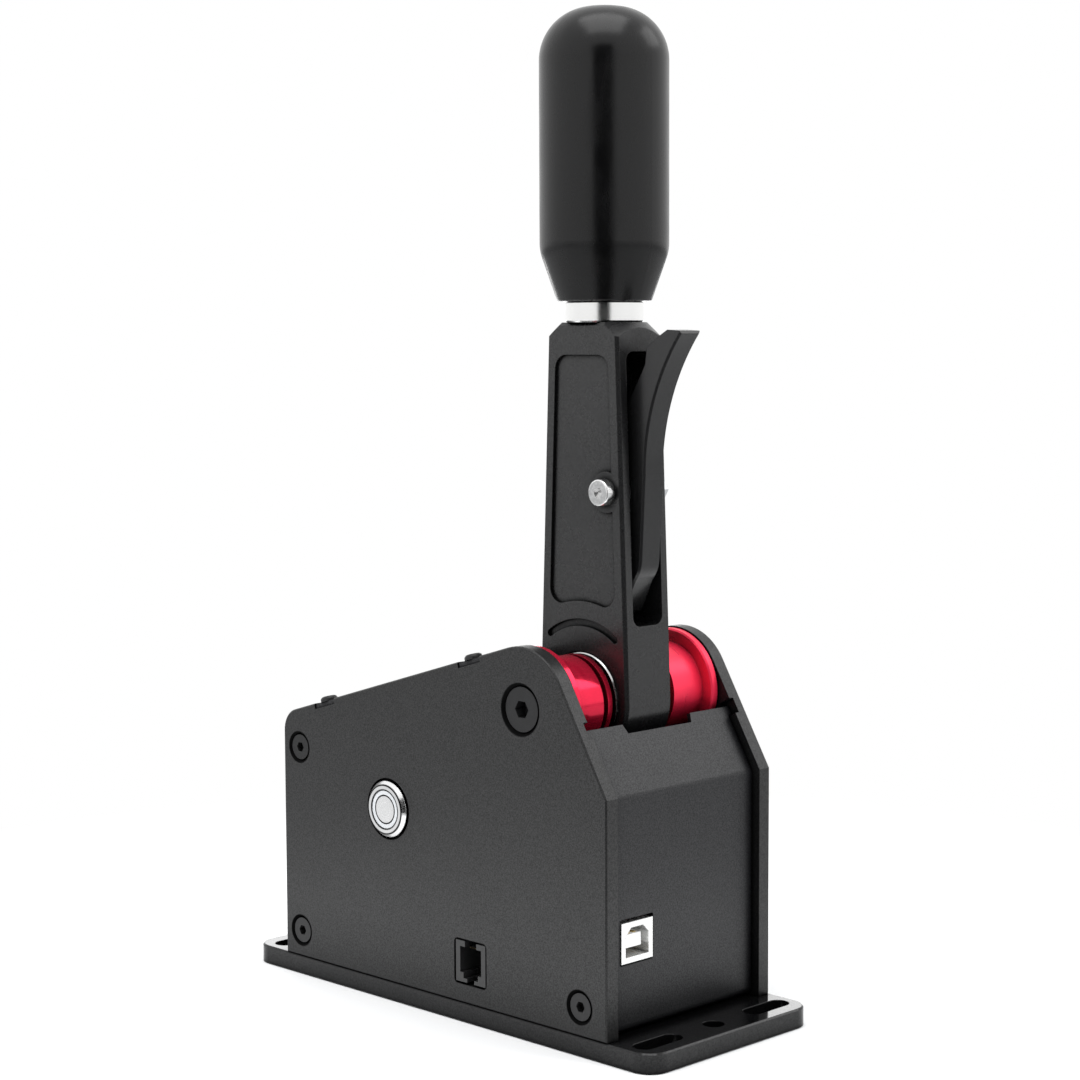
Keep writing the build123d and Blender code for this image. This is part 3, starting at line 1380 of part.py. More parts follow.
# USB socket and its board
with BuildPart() as usb_board:
    with Locations((usb_board_x, usb_y, usb_board_top_z - usb_board_thickness / 2)):
        Box(usb_board_length, usb_board_width, usb_board_thickness)
    with Locations(*[(x, y, usb_board_top_z) for x, y in usb_hole_points]):
        Cylinder(board_hole_diameter / 2, 2 * usb_board_thickness + overrun, mode=Mode.SUBTRACT)
usb_board.part.label = "usb_board"
export_step(usb_board.part, "parts/usb_board.step")

usb_front_x = front_sheet_x + usb_proud
usb_mouth_foot_z = usb_z - usb_mouth_height / 2
usb_mouth_top_z = usb_z + usb_mouth_height / 2
usb_mouth_half = usb_mouth_width / 2
with BuildPart() as usb_shell:
    with BuildSketch(Plane.YZ.offset(usb_front_x)):
        with Locations((usb_y, usb_z)):
            Rectangle(usb_width, usb_tall)
    extrude(amount=-usb_depth)
    with BuildSketch(Plane.YZ.offset(usb_front_x)):
        with BuildLine():
            Polyline((usb_y - usb_mouth_half, usb_mouth_foot_z),
                     (usb_y + usb_mouth_half, usb_mouth_foot_z),
                     (usb_y + usb_mouth_half, usb_mouth_top_z - usb_mouth_chamfer),
                     (usb_y + usb_mouth_half - usb_mouth_chamfer, usb_mouth_top_z),
                     (usb_y - usb_mouth_half + usb_mouth_chamfer, usb_mouth_top_z),
                     (usb_y - usb_mouth_half, usb_mouth_top_z - usb_mouth_chamfer), close=True)
        make_face()
    extrude(amount=-usb_mouth_depth, mode=Mode.SUBTRACT)
usb_shell.part.label = "usb_shell"
export_step(usb_shell.part, "parts/usb_shell.step")

usb_tongue_length = usb_mouth_depth - usb_tongue_setback
usb_tongue_x = usb_front_x - usb_tongue_setback - usb_tongue_length / 2
with BuildPart() as usb_tongue:
    with Locations((usb_tongue_x, usb_y, usb_z)):
        Box(usb_tongue_length, usb_tongue_width, usb_tongue_height)
usb_tongue.part.label = "usb_tongue"
export_step(usb_tongue.part, "parts/usb_tongue.step")

with BuildPart() as usb_contacts:
    with Locations(*[(usb_tongue_x, usb_y + side * usb_contact_spacing / 2,
                      usb_z + up * (usb_tongue_height + usb_contact_thickness) / 2)
                     for side in sides for up in sides]):
        Box(usb_tongue_length - usb_tongue_setback, usb_contact_width, usb_contact_thickness)
usb_contacts.part.label = "usb_contacts"
export_step(usb_contacts.part, "parts/usb_contacts.step")

# Push button, measured from the outer face of the near side plate, outwards
button_place = facing(button_x, -half_width, button_z, (0, -1, 0))
halo_top = button_bezel_height - button_halo_recess
ledge = halo_top - button_halo_thickness
flange_top = ledge - button_flange_gap
flange_foot = flange_top - button_flange_thickness
stem_end = flange_foot - button_stem_length
bezel_radius = button_bezel_diameter / 2
thread_radius = button_thread_diameter / 2
well_radius = button_well_diameter / 2
bore_radius = button_bore_diameter / 2
stem_radius = button_stem_diameter / 2
web_top = -button_web_start
web_foot = web_top - button_web_thickness
barrel_end = -button_barrel_length

bezel_blank = spin([
    (bezel_radius, 0), (bezel_radius, button_bezel_height - button_bezel_chamfer),
    (bezel_radius - button_bezel_chamfer, button_bezel_height),
    (well_radius, button_bezel_height), (well_radius, ledge), (bore_radius, ledge),
    (bore_radius, web_top), (stem_radius + running_gap, web_top),
    (stem_radius + running_gap, web_foot), (bore_radius, web_foot), (bore_radius, barrel_end),
    (thread_radius, barrel_end), (thread_radius, 0)])
with BuildPart() as button_bezel:
    with Locations(button_place):
        add(bezel_blank)
button_bezel.part.label = "button_bezel"
export_step(button_bezel.part, "parts/button_bezel.step")

cap_blank = spin([
    (0, halo_top), (button_cap_diameter / 2, halo_top), (button_cap_diameter / 2, flange_top),
    (button_flange_diameter / 2, flange_top), (button_flange_diameter / 2, flange_foot),
    (stem_radius, flange_foot), (stem_radius, stem_end), (0, stem_end)])
with BuildPart() as button_cap:
    with Locations(button_place):
        add(cap_blank)
button_cap.part.label = "button_cap"
export_step(button_cap.part, "parts/button_cap.step")

with BuildPart() as button_halo:
    with Locations(button_place):
        with Locations((0, 0, (halo_top + ledge) / 2)):
            Cylinder(well_radius - seat_gap, button_halo_thickness)
            Cylinder(button_cap_diameter / 2 + running_gap, button_halo_thickness,
                     mode=Mode.SUBTRACT)
button_halo.part.label = "button_halo"
export_step(button_halo.part, "parts/button_halo.step")

button_nut_blank = hex_nut(button_nut_flats, button_nut_height, thread_radius + thread_gap)
with BuildPart() as button_nut:
    with Locations(button_place):
        with Locations((0, 0, -plate_thickness - button_nut_height)):
            add(button_nut_blank)
button_nut.part.label = "button_nut"
export_step(button_nut.part, "parts/button_nut.step")

switch_radius = button_switch_diameter / 2
switch_end = barrel_end - button_switch_length
switch_blank = spin([
    (0, barrel_end + button_switch_neck),
    (bore_radius - seat_gap, barrel_end + button_switch_neck),
    (bore_radius - seat_gap, barrel_end), (switch_radius, barrel_end),
    (switch_radius, switch_end), (0, switch_end)])
terminal_middle = switch_end + terminal_seat / 2 - terminal_length / 2
terminal_points = [(terminal_spacing / 2, 0, terminal_middle),
                   (-terminal_spacing / 2, 0, terminal_middle),
                   (0, terminal_spacing / 2, terminal_middle),
                   (0, -terminal_spacing / 2, terminal_middle)]
with BuildPart() as button_switch:
    with Locations(button_place):
        add(switch_blank)
        with Locations(*terminal_points):
            Box(terminal_width + 2 * seat_gap, terminal_thickness + 2 * seat_gap,
                terminal_length + terminal_seat + seat_gap, mode=Mode.SUBTRACT)
button_switch.part.label = "button_switch"
export_step(button_switch.part, "parts/button_switch.step")

with BuildPart() as button_terminals:
    with Locations(button_place):
        with Locations(*terminal_points):
            Box(terminal_width, terminal_thickness, terminal_length + terminal_seat)
button_terminals.part.label = "button_terminals"
export_step(button_terminals.part, "parts/button_terminals.step")

button_coil = sleeve(button_spring_outer, button_spring_outer - 2 * button_spring_wire,
                     flange_foot - web_top - 2 * seat_gap)
with BuildPart() as button_spring:
    with Locations(button_place):
        with Locations((0, 0, (flange_foot + web_top) / 2)):
            add(button_coil)
button_spring.part.label = "button_spring"
export_step(button_spring.part, "parts/button_spring.step")
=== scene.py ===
import math

import bpy
from mathutils import Matrix, Vector


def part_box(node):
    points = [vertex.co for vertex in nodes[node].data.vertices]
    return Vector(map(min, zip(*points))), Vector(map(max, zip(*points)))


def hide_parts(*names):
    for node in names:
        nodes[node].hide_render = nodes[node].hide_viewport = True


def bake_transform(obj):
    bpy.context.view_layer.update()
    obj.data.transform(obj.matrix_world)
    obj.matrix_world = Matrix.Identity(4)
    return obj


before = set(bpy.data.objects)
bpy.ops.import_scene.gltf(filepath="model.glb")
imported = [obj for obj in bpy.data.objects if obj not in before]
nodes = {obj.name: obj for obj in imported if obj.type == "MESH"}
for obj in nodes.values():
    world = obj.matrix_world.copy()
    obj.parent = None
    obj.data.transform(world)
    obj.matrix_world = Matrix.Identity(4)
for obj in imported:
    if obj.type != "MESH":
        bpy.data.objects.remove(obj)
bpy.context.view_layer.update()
scene = bpy.context.scene
scene.view_settings.view_transform = "Standard"
scene.view_settings.look = "None"

# The camera, fitted to edges and holes that the photograph shows.
# Millimetres from the middle of the base's underside, and degrees.
LENS = 77.33
CAMERA_MM = (528.876, -516.625, 210.748)
AZIMUTH, ELEVATION, ROLL = (math.radians(a) for a in (45.110, 4.946, -0.249))

back = Vector((math.sin(AZIMUTH) * math.cos(ELEVATION),
               -math.cos(AZIMUTH) * math.cos(ELEVATION), math.sin(ELEVATION)))
right = Vector((0, 0, 1)).cross(back).normalized()
up = back.cross(right)
right, up = (math.cos(ROLL) * right + math.sin(ROLL) * up,
             math.cos(ROLL) * up - math.sin(ROLL) * right)
camera_data = bpy.data.cameras.new("camera")
camera_data.lens = LENS
camera_data.sensor_width = 36
camera_data.clip_start = 0.01
camera_data.clip_end = 50
camera = bpy.data.objects.new("camera", camera_data)
turn = Matrix((right, up, back)).transposed().to_4x4()
camera.matrix_world = Matrix.Translation(Vector(CAMERA_MM) / 1000) @ turn
scene.collection.objects.link(camera)
scene.camera = camera


# Materials

# About how wide the lumps in a finish and in its painted edge lines are, in metres.
MOTTLE = 0.022
SHEEN = 0.009
EDGE_BREAKUP = 0.006
FLOW = 0.005
SMEAR = 0.004

# Painted shade in seams and screws' sinks, where a coat's colour and shine are darkened: how far a
# seam is felt, half a sink's width, and the share of the coat's openness that is left in a sink.
SEAM_REACH = 0.0018
SINK_HALF_WIDTH = 0.0010
SINK_LEFT = 0.05

# Painted shade: the shares of a coat's shine that are left in a corner and in a seam, and of its
# colour there.
CORNER_SHINE = 0.30
SEAM_SHINE = 0.12
PAINTED_SHADE_TINT = 0.2

# A coat's roughness goes this much under and over its own value.
SMOOTHER, ROUGHER = 0.012, 0.016

def add(tree, kind, **inputs):
    """One new node, with plain values set on its inputs and sockets linked to them."""
    node = tree.nodes.new(kind)
    for name, value in inputs.items():
        put(tree, node.inputs[name.replace("_", " ")], value)
    return node


def put(tree, socket, value):
    """Links a socket to another, or sets its plain value."""
    if isinstance(value, bpy.types.NodeSocket):
        tree.links.new(value, socket)
    else:
        socket.default_value = value


def place(tree, stretch=(1, 1, 1), centre=(0, 0, 0)):
    """Object coordinates in metres, moved to a centre and then stretched."""
    coordinates = tree.nodes.new("ShaderNodeTexCoord").outputs["Object"]
    moved = tree.nodes.new("ShaderNodeVectorMath")
    moved.operation = "SUBTRACT"
    put(tree, moved.inputs[0], coordinates)
    moved.inputs[1].default_value = centre
    scaled = tree.nodes.new("ShaderNodeVectorMath")
    scaled.operation = "MULTIPLY"
    put(tree, scaled.inputs[0], moved.outputs[0])
    scaled.inputs[1].default_value = stretch
    return scaled.outputs[0]


def noise(tree, where, size, detail=3.0, rough=0.55):
    """Noise whose lumps are about so many metres across."""
    return add(tree, "ShaderNodeTexNoise", Vector=where, Scale=1 / size, Detail=detail,
               Roughness=rough).outputs["Fac"]


def ring_noise(tree, centre, axis, size, detail=4.0):
    """Noise that only changes with the distance from an axis, as turning leaves it."""
    flat = [1, 1, 1]
    flat[axis] = 0
    length = tree.nodes.new("ShaderNodeVectorMath")
    length.operation = "LENGTH"
    put(tree, length.inputs[0], place(tree, flat, centre))
    node = tree.nodes.new("ShaderNodeTexNoise")
    node.noise_dimensions = "1D"
    put(tree, node.inputs["W"], length.outputs["Value"])
    node.inputs["Scale"].default_value = 1 / size
    node.inputs["Detail"].default_value = detail
    return node.outputs["Fac"]


def groove(tree, centre, axis, radius, half_width):
    """1 on a circle round an axis, falling to 0 half a width away from it."""
    flat = [1, 1, 1]
    flat[axis] = 0
    length = tree.nodes.new("ShaderNodeVectorMath")
    length.operation = "LENGTH"
    put(tree, length.inputs[0], place(tree, flat, centre))
    off = math_node(tree, "SUBTRACT", length.outputs["Value"], radius)
    return spread(tree, math_node(tree, "ABSOLUTE", off, 0.0), 1.0, 0.0,
                  half_width * 0.5, half_width)


def ramp(tree, factor, low, high, start=0.3, end=0.7):
    """A colour that goes from low to high as the factor goes from start to end."""
    node = tree.nodes.new("ShaderNodeValToRGB")
    put(tree, node.inputs["Fac"], factor)
    node.color_ramp.elements[0].position = start
    node.color_ramp.elements[1].position = end
    node.color_ramp.elements[0].color = (*low, 1)
    node.color_ramp.elements[1].color = (*high, 1)
    return node.outputs["Color"]


def spread(tree, factor, low, high, start=0.3, end=0.7):
    """A value that goes from low to high as the factor goes from start to end."""
    return add(tree, "ShaderNodeMapRange", Value=factor, From_Min=start, From_Max=end,
               To_Min=low, To_Max=high).outputs["Result"]


def math_node(tree, kind, a, b):
    node = tree.nodes.new("ShaderNodeMath")
    node.operation = kind
    put(tree, node.inputs[0], a)
    put(tree, node.inputs[1], b)
    return node.outputs[0]


def mix_colour(tree, factor, a, b, kind="MIX"):
    node = tree.nodes.new("ShaderNodeMix")
    node.data_type = "RGBA"
    node.blend_type = kind
    put(tree, node.inputs[0], factor)
    put(tree, node.inputs[6], a if isinstance(a, bpy.types.NodeSocket) else (*a, 1))
    put(tree, node.inputs[7], b if isinstance(b, bpy.types.NodeSocket) else (*b, 1))
    return node.outputs[2]


def rounded(tree, radius):
    """The normal, rounded at the edges."""
    bevel = tree.nodes.new("ShaderNodeBevel")
    bevel.samples = 4
    bevel.inputs["Radius"].default_value = radius
    return bevel.outputs["Normal"]


def edges(tree, radius):
    """The rounded normal, and how near an edge a point is: 0 away from it, 1 on it."""
    normal = rounded(tree, radius)
    dot = tree.nodes.new("ShaderNodeVectorMath")
    dot.operation = "DOT_PRODUCT"
    put(tree, dot.inputs[0], normal)
    put(tree, dot.inputs[1], tree.nodes.new("ShaderNodeNewGeometry").outputs["Normal"])
    near = spread(tree, dot.outputs["Value"], 1.0, 0.0, 0.86, 0.995)
    return normal, near


def shader(name, **values):
    """A new material, its tree and its principled node, with plain values set on that node."""
    material = bpy.data.materials.new(name)
    material.use_nodes = True
    tree = material.node_tree
    surface = tree.nodes["Principled BSDF"]
    for key, value in values.items():
        surface.inputs[key.replace("_", " ")].default_value = value
    return material, tree, surface


def tint(colour, share):
    """A colour made darker or paler by a share of itself."""
    return tuple(min(1.0, c * share) for c in colour)


def shade_openness(tree, distance, low, start=0.45, end=0.93):
    """How open a point is: less in seams, pockets and corners, 1 on an open face."""
    # The callers paint shade by this openness, darkening colour and shine where it is low.
    node = tree.nodes.new("ShaderNodeAmbientOcclusion")
    node.samples = 6
    node.inputs["Distance"].default_value = distance
    return spread(tree, node.outputs["AO"], low, 1.0, start, end)


def coat(name, colour, rough, grain=0.00045, depth=0.00004, speckle=0.30, patchy=0.05,
         round_edge=0.00035, painted_edge_tone=0.7, gloss=0.5, sparkle=0.34, shade_reach=0.030,
         edge_gloss=0.35, sinks=()):
    """Baked powder coat: a fine orange-peel grain whose tips shine, and faint mottling.

    Sinks are screws' cones, painted dark inside as shade: the middle of each, and the ring's radius.
    """
    material, tree, surface = shader(name, Metallic=0.0)
    where = place(tree)
    fine = noise(tree, where, grain, 3.0, 0.7)
    broad = noise(tree, where, MOTTLE, 3.0)
    # Painted shade: colour and shine are darkened in corners and seams, and in the screws' sinks.
    unshaded_share = math_node(tree, "MULTIPLY", shade_openness(tree, shade_reach, CORNER_SHINE),
                           shade_openness(tree, SEAM_REACH, SEAM_SHINE, 0.55, 0.92))
    # Painted shade in each screw's sink: a ring where colour and shine turn dark.
    for centre, radius in sinks:
        ring = groove(tree, centre, 1, radius, SINK_HALF_WIDTH)
        left = spread(tree, ring, 1.0, SINK_LEFT, 0, 0.6)
        unshaded_share = math_node(tree, "MULTIPLY", unshaded_share, left)
    body = ramp(tree, fine, tint(colour, 1 - speckle), tint(colour, 1 + speckle), 0.34, 0.66)
    shade = ramp(tree, broad, (1 - patchy,) * 3, (1 + patchy,) * 3)
    body = mix_colour(tree, 1.0, body, shade, "MULTIPLY")
    # Painted edge lines: near an edge the colour turns darker, or paler as a painted highlight when
    # the tone is over 1, broken up by noise.
    normal, near = edges(tree, round_edge)
    painted_edge = math_node(tree, "MULTIPLY", near, spread(tree, noise(tree, where, EDGE_BREAKUP), 0.35, 1.0))
    body = mix_colour(tree, painted_edge, body, tint(colour, painted_edge_tone))
    # Painted shade on the colour, towards near black where the coat is least open.
    body = mix_colour(tree, unshaded_share, tint(colour, PAINTED_SHADE_TINT), body)
    put(tree, surface.inputs["Base Color"], body)
    put(tree, surface.inputs["Roughness"],
        spread(tree, noise(tree, where, SHEEN), rough - SMOOTHER, rough + ROUGHER))
    tips = spread(tree, fine, gloss * (1 - sparkle), gloss * (1 + sparkle), 0.36, 0.64)
    rims = spread(tree, near, 1.0, edge_gloss, 0.0, 1.0)
    tips = math_node(tree, "MULTIPLY", tips, rims)
    # Painted shade on the shine as well, where the coat is least open.
    put(tree, surface.inputs["Specular IOR Level"], math_node(tree, "MULTIPLY", tips, unshaded_share))
    bump = add(tree, "ShaderNodeBump", Strength=0.6, Distance=depth, Height=fine, Normal=normal)
    put(tree, surface.inputs["Normal"], bump.outputs["Normal"])
    return material


def steel(name, colour, rough, stretch=(1, 1, 1), grain=0.0004, depth=0.000006, vary=0.12,
          round_edge=0.0002, metallic=1.0, ring=None, gloss=0.5, shade_seams=(), painted_shade=0.0,
          shade_reach=0.012, open_from=0.45, open_to=0.93):
    """Bare or plated metal, with marks drawn along one direction, or rings where it was turned.

    Stretch says how fast the marks change along X, Y and Z. Seams are painted shade: dark fine lines
    round the ring's axis in its grooves and gaps, each at a radius with half a width.
    """
    material, tree, surface = shader(name, Metallic=metallic)
    where = place(tree, stretch)
    marks = ring_noise(tree, ring[0], ring[1], grain) if ring else noise(tree, where, grain, 3.0)
    broad = noise(tree, place(tree), SMEAR, 3.0)
    both = math_node(tree, "ADD", math_node(tree, "MULTIPLY", marks, 0.7),
                     math_node(tree, "MULTIPLY", broad, 0.3))
    body = ramp(tree, both, tint(colour, 1 - vary), tint(colour, 1 + vary / 2), 0.35, 0.65)
    # Painted shade: dark lines in the grooves and gaps round the ring's axis.
    for radius, half_width in shade_seams:
        body = mix_colour(tree, groove(tree, ring[0], ring[1], radius, half_width), body,
                          tint(colour, 0.02))
    # Painted shade: the colour turns near black in corners and gaps, by the share given.
    if painted_shade:
        body = mix_colour(tree, shade_openness(tree, shade_reach, 1 - painted_shade, open_from, open_to),
                          tint(colour, 0.04), body)
    put(tree, surface.inputs["Base Color"], body)
    put(tree, surface.inputs["Roughness"],
        spread(tree, both, max(0.03, rough - 0.05), rough + 0.08))
    surface.inputs["Specular IOR Level"].default_value = gloss
    bump = add(tree, "ShaderNodeBump", Strength=0.6, Distance=depth, Height=marks,
               Normal=rounded(tree, round_edge))
    put(tree, surface.inputs["Normal"], bump.outputs["Normal"])
    return material


def moulded(name, colour, rough, grain=0.0003, depth=0.000012, vary=0.1, round_edge=0.0002,
            gloss=0.5, clear=0.0):
    """Moulded plastic, rubber or ceramic, with the tool's fine texture and faint flow marks."""
    material, tree, surface = shader(name, Metallic=0.0)
    where = place(tree)
    fine = noise(tree, where, grain, 2.0)
    flow = noise(tree, place(tree, (1, 1, 0.35)), FLOW, 3.0, 0.6)
    both = math_node(tree, "ADD", math_node(tree, "MULTIPLY", fine, 0.5),
                     math_node(tree, "MULTIPLY", flow, 0.5))
    put(tree, surface.inputs["Base Color"],
        ramp(tree, both, tint(colour, 1 - vary), tint(colour, 1 + vary), 0.38, 0.62))
    put(tree, surface.inputs["Roughness"],
        spread(tree, flow, max(0.04, rough - 0.05), rough + 0.06))
    surface.inputs["Specular IOR Level"].default_value = gloss
    if clear:
        surface.inputs["Transmission Weight"].default_value = clear
    bump = add(tree, "ShaderNodeBump", Strength=0.5, Distance=depth, Height=fine,
               Normal=rounded(tree, round_edge))
    put(tree, surface.inputs["Normal"], bump.outputs["Normal"])
    return material


# The scales of the track and pad textures, and about how wide the patches are that tracks run in,
# in metres.
TRACK_SCALE, PAD_SCALE = 230, 330
FIRST_PATCH, SECOND_PATCH = 0.006, 0.004


def circuit(name, mask, copper, across):
    """A circuit board: solder mask over paler tracks and pads, in the two directions of its face."""
    material, tree, surface = shader(name, Metallic=0.0)
    flat = place(tree, tuple(1 if i in across else 0 for i in range(3)))
    tracks = []
    for axis, patch in zip(across, (FIRST_PATCH, SECOND_PATCH)):
        wave = tree.nodes.new("ShaderNodeTexWave")
        wave.wave_type = "BANDS"
        wave.bands_direction = "XYZ"[axis]
        put(tree, wave.inputs["Vector"], flat)
        wave.inputs["Scale"].default_value = TRACK_SCALE
        wave.inputs["Distortion"].default_value = 0
        line = spread(tree, wave.outputs["Fac"], 0.0, 1.0, 0.72, 0.80)
        where = spread(tree, noise(tree, flat, patch), 0, 1, 0.5, 0.52)
        tracks.append(math_node(tree, "MULTIPLY", line, where))
    track = math_node(tree, "MAXIMUM", tracks[0], tracks[1])
    cells = tree.nodes.new("ShaderNodeTexVoronoi")
    put(tree, cells.inputs["Vector"], flat)
    cells.inputs["Scale"].default_value = PAD_SCALE
    dots = spread(tree, cells.outputs["Distance"], 1.0, 0.0, 0.11, 0.14)
    body = mix_colour(tree, track, mask, tint(mask, 1.9))
    body = mix_colour(tree, dots, body, copper)
    put(tree, surface.inputs["Base Color"], body)
    put(tree, surface.inputs["Roughness"], spread(tree, dots, 0.42, 0.28, 0, 1))
    height = math_node(tree, "MAXIMUM", track, dots)
    bump = add(tree, "ShaderNodeBump", Strength=0.7, Distance=0.00003, Height=height)
    put(tree, surface.inputs["Normal"], bump.outputs["Normal"])
    return material


# Points on the axes of the button, the lever's pivot, the knob and the near side screws, in metres.
BUTTON = (-0.0216, -0.037, 0.062)
PIVOT = (0.0386, 0, 0.1005)
KNOB_AXIS = (0.0386, 0, 0.25)
SIDE_SCREWS = ((-0.066, 0, 0.0147), (-0.066, 0, 0.0765), (0.063, 0, 0.0147))


def radius_of(node):
    """The radius of a round node that faces along Y."""
    low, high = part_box(node)
    return (high[0] - low[0]) / 2


# Radii of the rings of painted shade in the screws' sinks and in the button's grooves, and half the
# widths of the button's.
PIVOT_SINK, SIDE_SINK = 0.0073, 0.0045
BEZEL_SEAM, CAP_SEAM = 0.0078, 0.0047
THIN_SEAM, WIDE_SEAM = 0.00034, 0.00060
SINKS = ((PIVOT, PIVOT_SINK),) + tuple((middle, SIDE_SINK) for middle in SIDE_SCREWS)

plate_coat = coat("plate_coat", (0.0100, 0.0100, 0.0102), 0.38, gloss=0.50, sinks=SINKS)
cover_coat = coat("cover_coat", (0.0085, 0.0086, 0.0098), 0.36, round_edge=0.0003, gloss=0.49)
# The base's edges get a painted highlight: paler and shinier than its faces.
base_coat = coat("base_coat", (0.0045, 0.0045, 0.0049), 0.10, depth=0.000003, round_edge=0.0005,
                 gloss=0.42, shade_reach=0.010, painted_edge_tone=1.4, edge_gloss=1.3)
lever_coat = coat("lever_coat", (0.0085, 0.0085, 0.0089), 0.27, gloss=0.68, sparkle=0.22,
                  shade_reach=0.012)
tower_coat = coat("tower_coat", (0.0240, 0.0240, 0.0248), 0.5)
trigger_black = coat("trigger_black", (0.0095, 0.0095, 0.0099), 0.24, grain=0.0004,
                     depth=0.00002, speckle=0.2, shade_reach=0.010, gloss=0.55, sparkle=0.2)

ROUND_Y = (0.05, 1, 0.05)
ROUND_Z = (0.05, 0.05, 1)
FINELY_ROUND_Z = (0.02, 0.02, 1)
CONTACT_MARKS = (0.2, 1, 0.2)
ROD_MARKS = (1, 0.1, 0.1)
ALONG_X = (0.1, 1, 1)
# Shaded and lit copies of one red anodised finish, one for each spacer: the near copy darker and
# more mirror-like, near black in its hollows by painted shade; the far copy paler and more even, its
# lower part darkened by painted shade.
red_near_shaded_copy = steel("red_anodised", (0.98, 0.022, 0.075), 0.13, stretch=ROUND_Y, grain=0.0009,
            depth=0.0000003, vary=0.02, metallic=0.72, painted_shade=0.95, shade_reach=0.012)
red_far_lit_copy = steel("red_anodised_far_lit_copy", (1.0, 0.030, 0.085), 0.30, stretch=ROUND_Y, grain=0.0009,
                depth=0.0000003, vary=0.02, metallic=0.45, painted_shade=0.95, shade_reach=0.045,
                open_from=0.27, open_to=0.50)
# Painted shade: the screws turn near black in their sockets and where they meet the plates.
oxide = steel("oxide", (0.020, 0.020, 0.0205), 0.34, metallic=0.35, vary=0.2, gloss=0.45,
              painted_shade=0.9, shade_reach=0.0015)
bright_turned = steel("bright_turned", (0.97, 0.97, 0.96), 0.20, stretch=FINELY_ROUND_Z,
                      grain=0.00016, depth=0.000003, vary=0.05)
stud_steel = steel("stud_steel", (0.62, 0.62, 0.61), 0.28, stretch=ROUND_Z, grain=0.0006)
rod_steel = steel("rod_steel", (0.72, 0.72, 0.71), 0.14, stretch=ROD_MARKS, grain=0.0005,
                  depth=0.000002)
spring_steel = steel("spring_steel", (0.50, 0.49, 0.47), 0.30, grain=0.0005, depth=0.000004,
                     vary=0.2)
ring_steel = steel("ring_steel", (0.66, 0.66, 0.66), 0.16, ring=(PIVOT, 1), grain=0.0002)
ball_steel = steel("ball_steel", (0.78, 0.78, 0.78), 0.08, grain=0.0008, depth=0.000001)
# The button's rings carry painted shade: dark lines in its grooves and in the gaps between its
# parts.
button_steel = steel("button_steel", (0.94, 0.94, 0.94), 0.18, ring=(BUTTON, 1), grain=0.00022,
                     depth=0.000003, vary=0.05,
                     shade_seams=((BEZEL_SEAM, THIN_SEAM), (radius_of("button_halo"), WIDE_SEAM)))
cap_steel = steel("cap_steel", (0.97, 0.97, 0.97), 0.22, ring=(BUTTON, 1), grain=0.00030,
                  depth=0.000002, vary=0.04, shade_seams=((CAP_SEAM, WIDE_SEAM),))
screw_steel = steel("screw_steel", (0.86, 0.86, 0.86), 0.17, grain=0.0005, vary=0.07)
# Painted shade: the shell's colour darkens in its gaps and corners.
plated = steel("plated_shell", (0.93, 0.93, 0.92), 0.24, stretch=ALONG_X, grain=0.0006,
               depth=0.000003, vary=0.06, metallic=0.75, painted_shade=0.8, shade_reach=0.0016)
zinc = steel("zinc", (0.60, 0.61, 0.62), 0.32, grain=0.0009, depth=0.000004, vary=0.15)
brass = steel("brass", (0.72, 0.50, 0.20), 0.26, grain=0.0006, depth=0.000004)
gold = steel("gold_contacts", (0.83, 0.60, 0.22), 0.20, stretch=CONTACT_MARKS, grain=0.0005,
             depth=0.000002, vary=0.08)
# The jack's contacts: gold made nearly black.
dark_gold = steel("dark_gold", (0.05, 0.037, 0.02), 0.38, stretch=CONTACT_MARKS, grain=0.0005,
                  depth=0.000002)
bronze = steel("bronze_bush", (0.55, 0.33, 0.16), 0.36, stretch=ALONG_X, vary=0.2)
nickel = steel("nickel_magnet", (0.74, 0.73, 0.71), 0.20, grain=0.0012, depth=0.000002,
               vary=0.08)
alloy = steel("machined_alloy", (0.64, 0.64, 0.65), 0.30, stretch=ALONG_X, grain=0.0005)

knob_black = moulded("knob_black", (0.0028, 0.0028, 0.0030), 0.25, grain=0.00022,
                     depth=0.000003, vary=0.25, round_edge=0.0004, gloss=0.38)
seal_rubber = moulded("seal_rubber", (0.030, 0.016, 0.012), 0.55)
bumper_rubber = moulded("bumper_rubber", (0.014, 0.014, 0.014), 0.72, grain=0.0004,
                        depth=0.00003, vary=0.2)
jack_black = moulded("jack_black", (0.014, 0.014, 0.0145), 0.34, grain=0.00026, depth=0.00001,
                     vary=0.2, gloss=0.6)
tongue_white = moulded("tongue_white", (0.95, 0.95, 0.94), 0.40, vary=0.04)
switch_black = moulded("switch_black", (0.012, 0.012, 0.013), 0.45)
chip_black = moulded("chip_black", (0.014, 0.014, 0.016), 0.5, grain=0.0002, depth=0.00002,
                     vary=0.2)
halo_pale = moulded("halo_pale", (0.80, 0.82, 0.84), 0.24, grain=0.0004, depth=0.000004,
                    vary=0.04, clear=0.25)
roller_nylon = moulded("roller_nylon", (0.62, 0.60, 0.54), 0.42, grain=0.0004, depth=0.000008,
                       vary=0.06)

SOLDER_MASK, COPPER = (0.012, 0.070, 0.030), (0.66, 0.46, 0.20)
main_circuit = circuit("main_circuit", SOLDER_MASK, COPPER, (0, 2))
usb_circuit = circuit("usb_circuit", SOLDER_MASK, COPPER, (0, 1))
sensor_circuit = circuit("sensor_circuit", SOLDER_MASK, COPPER, (1, 2))

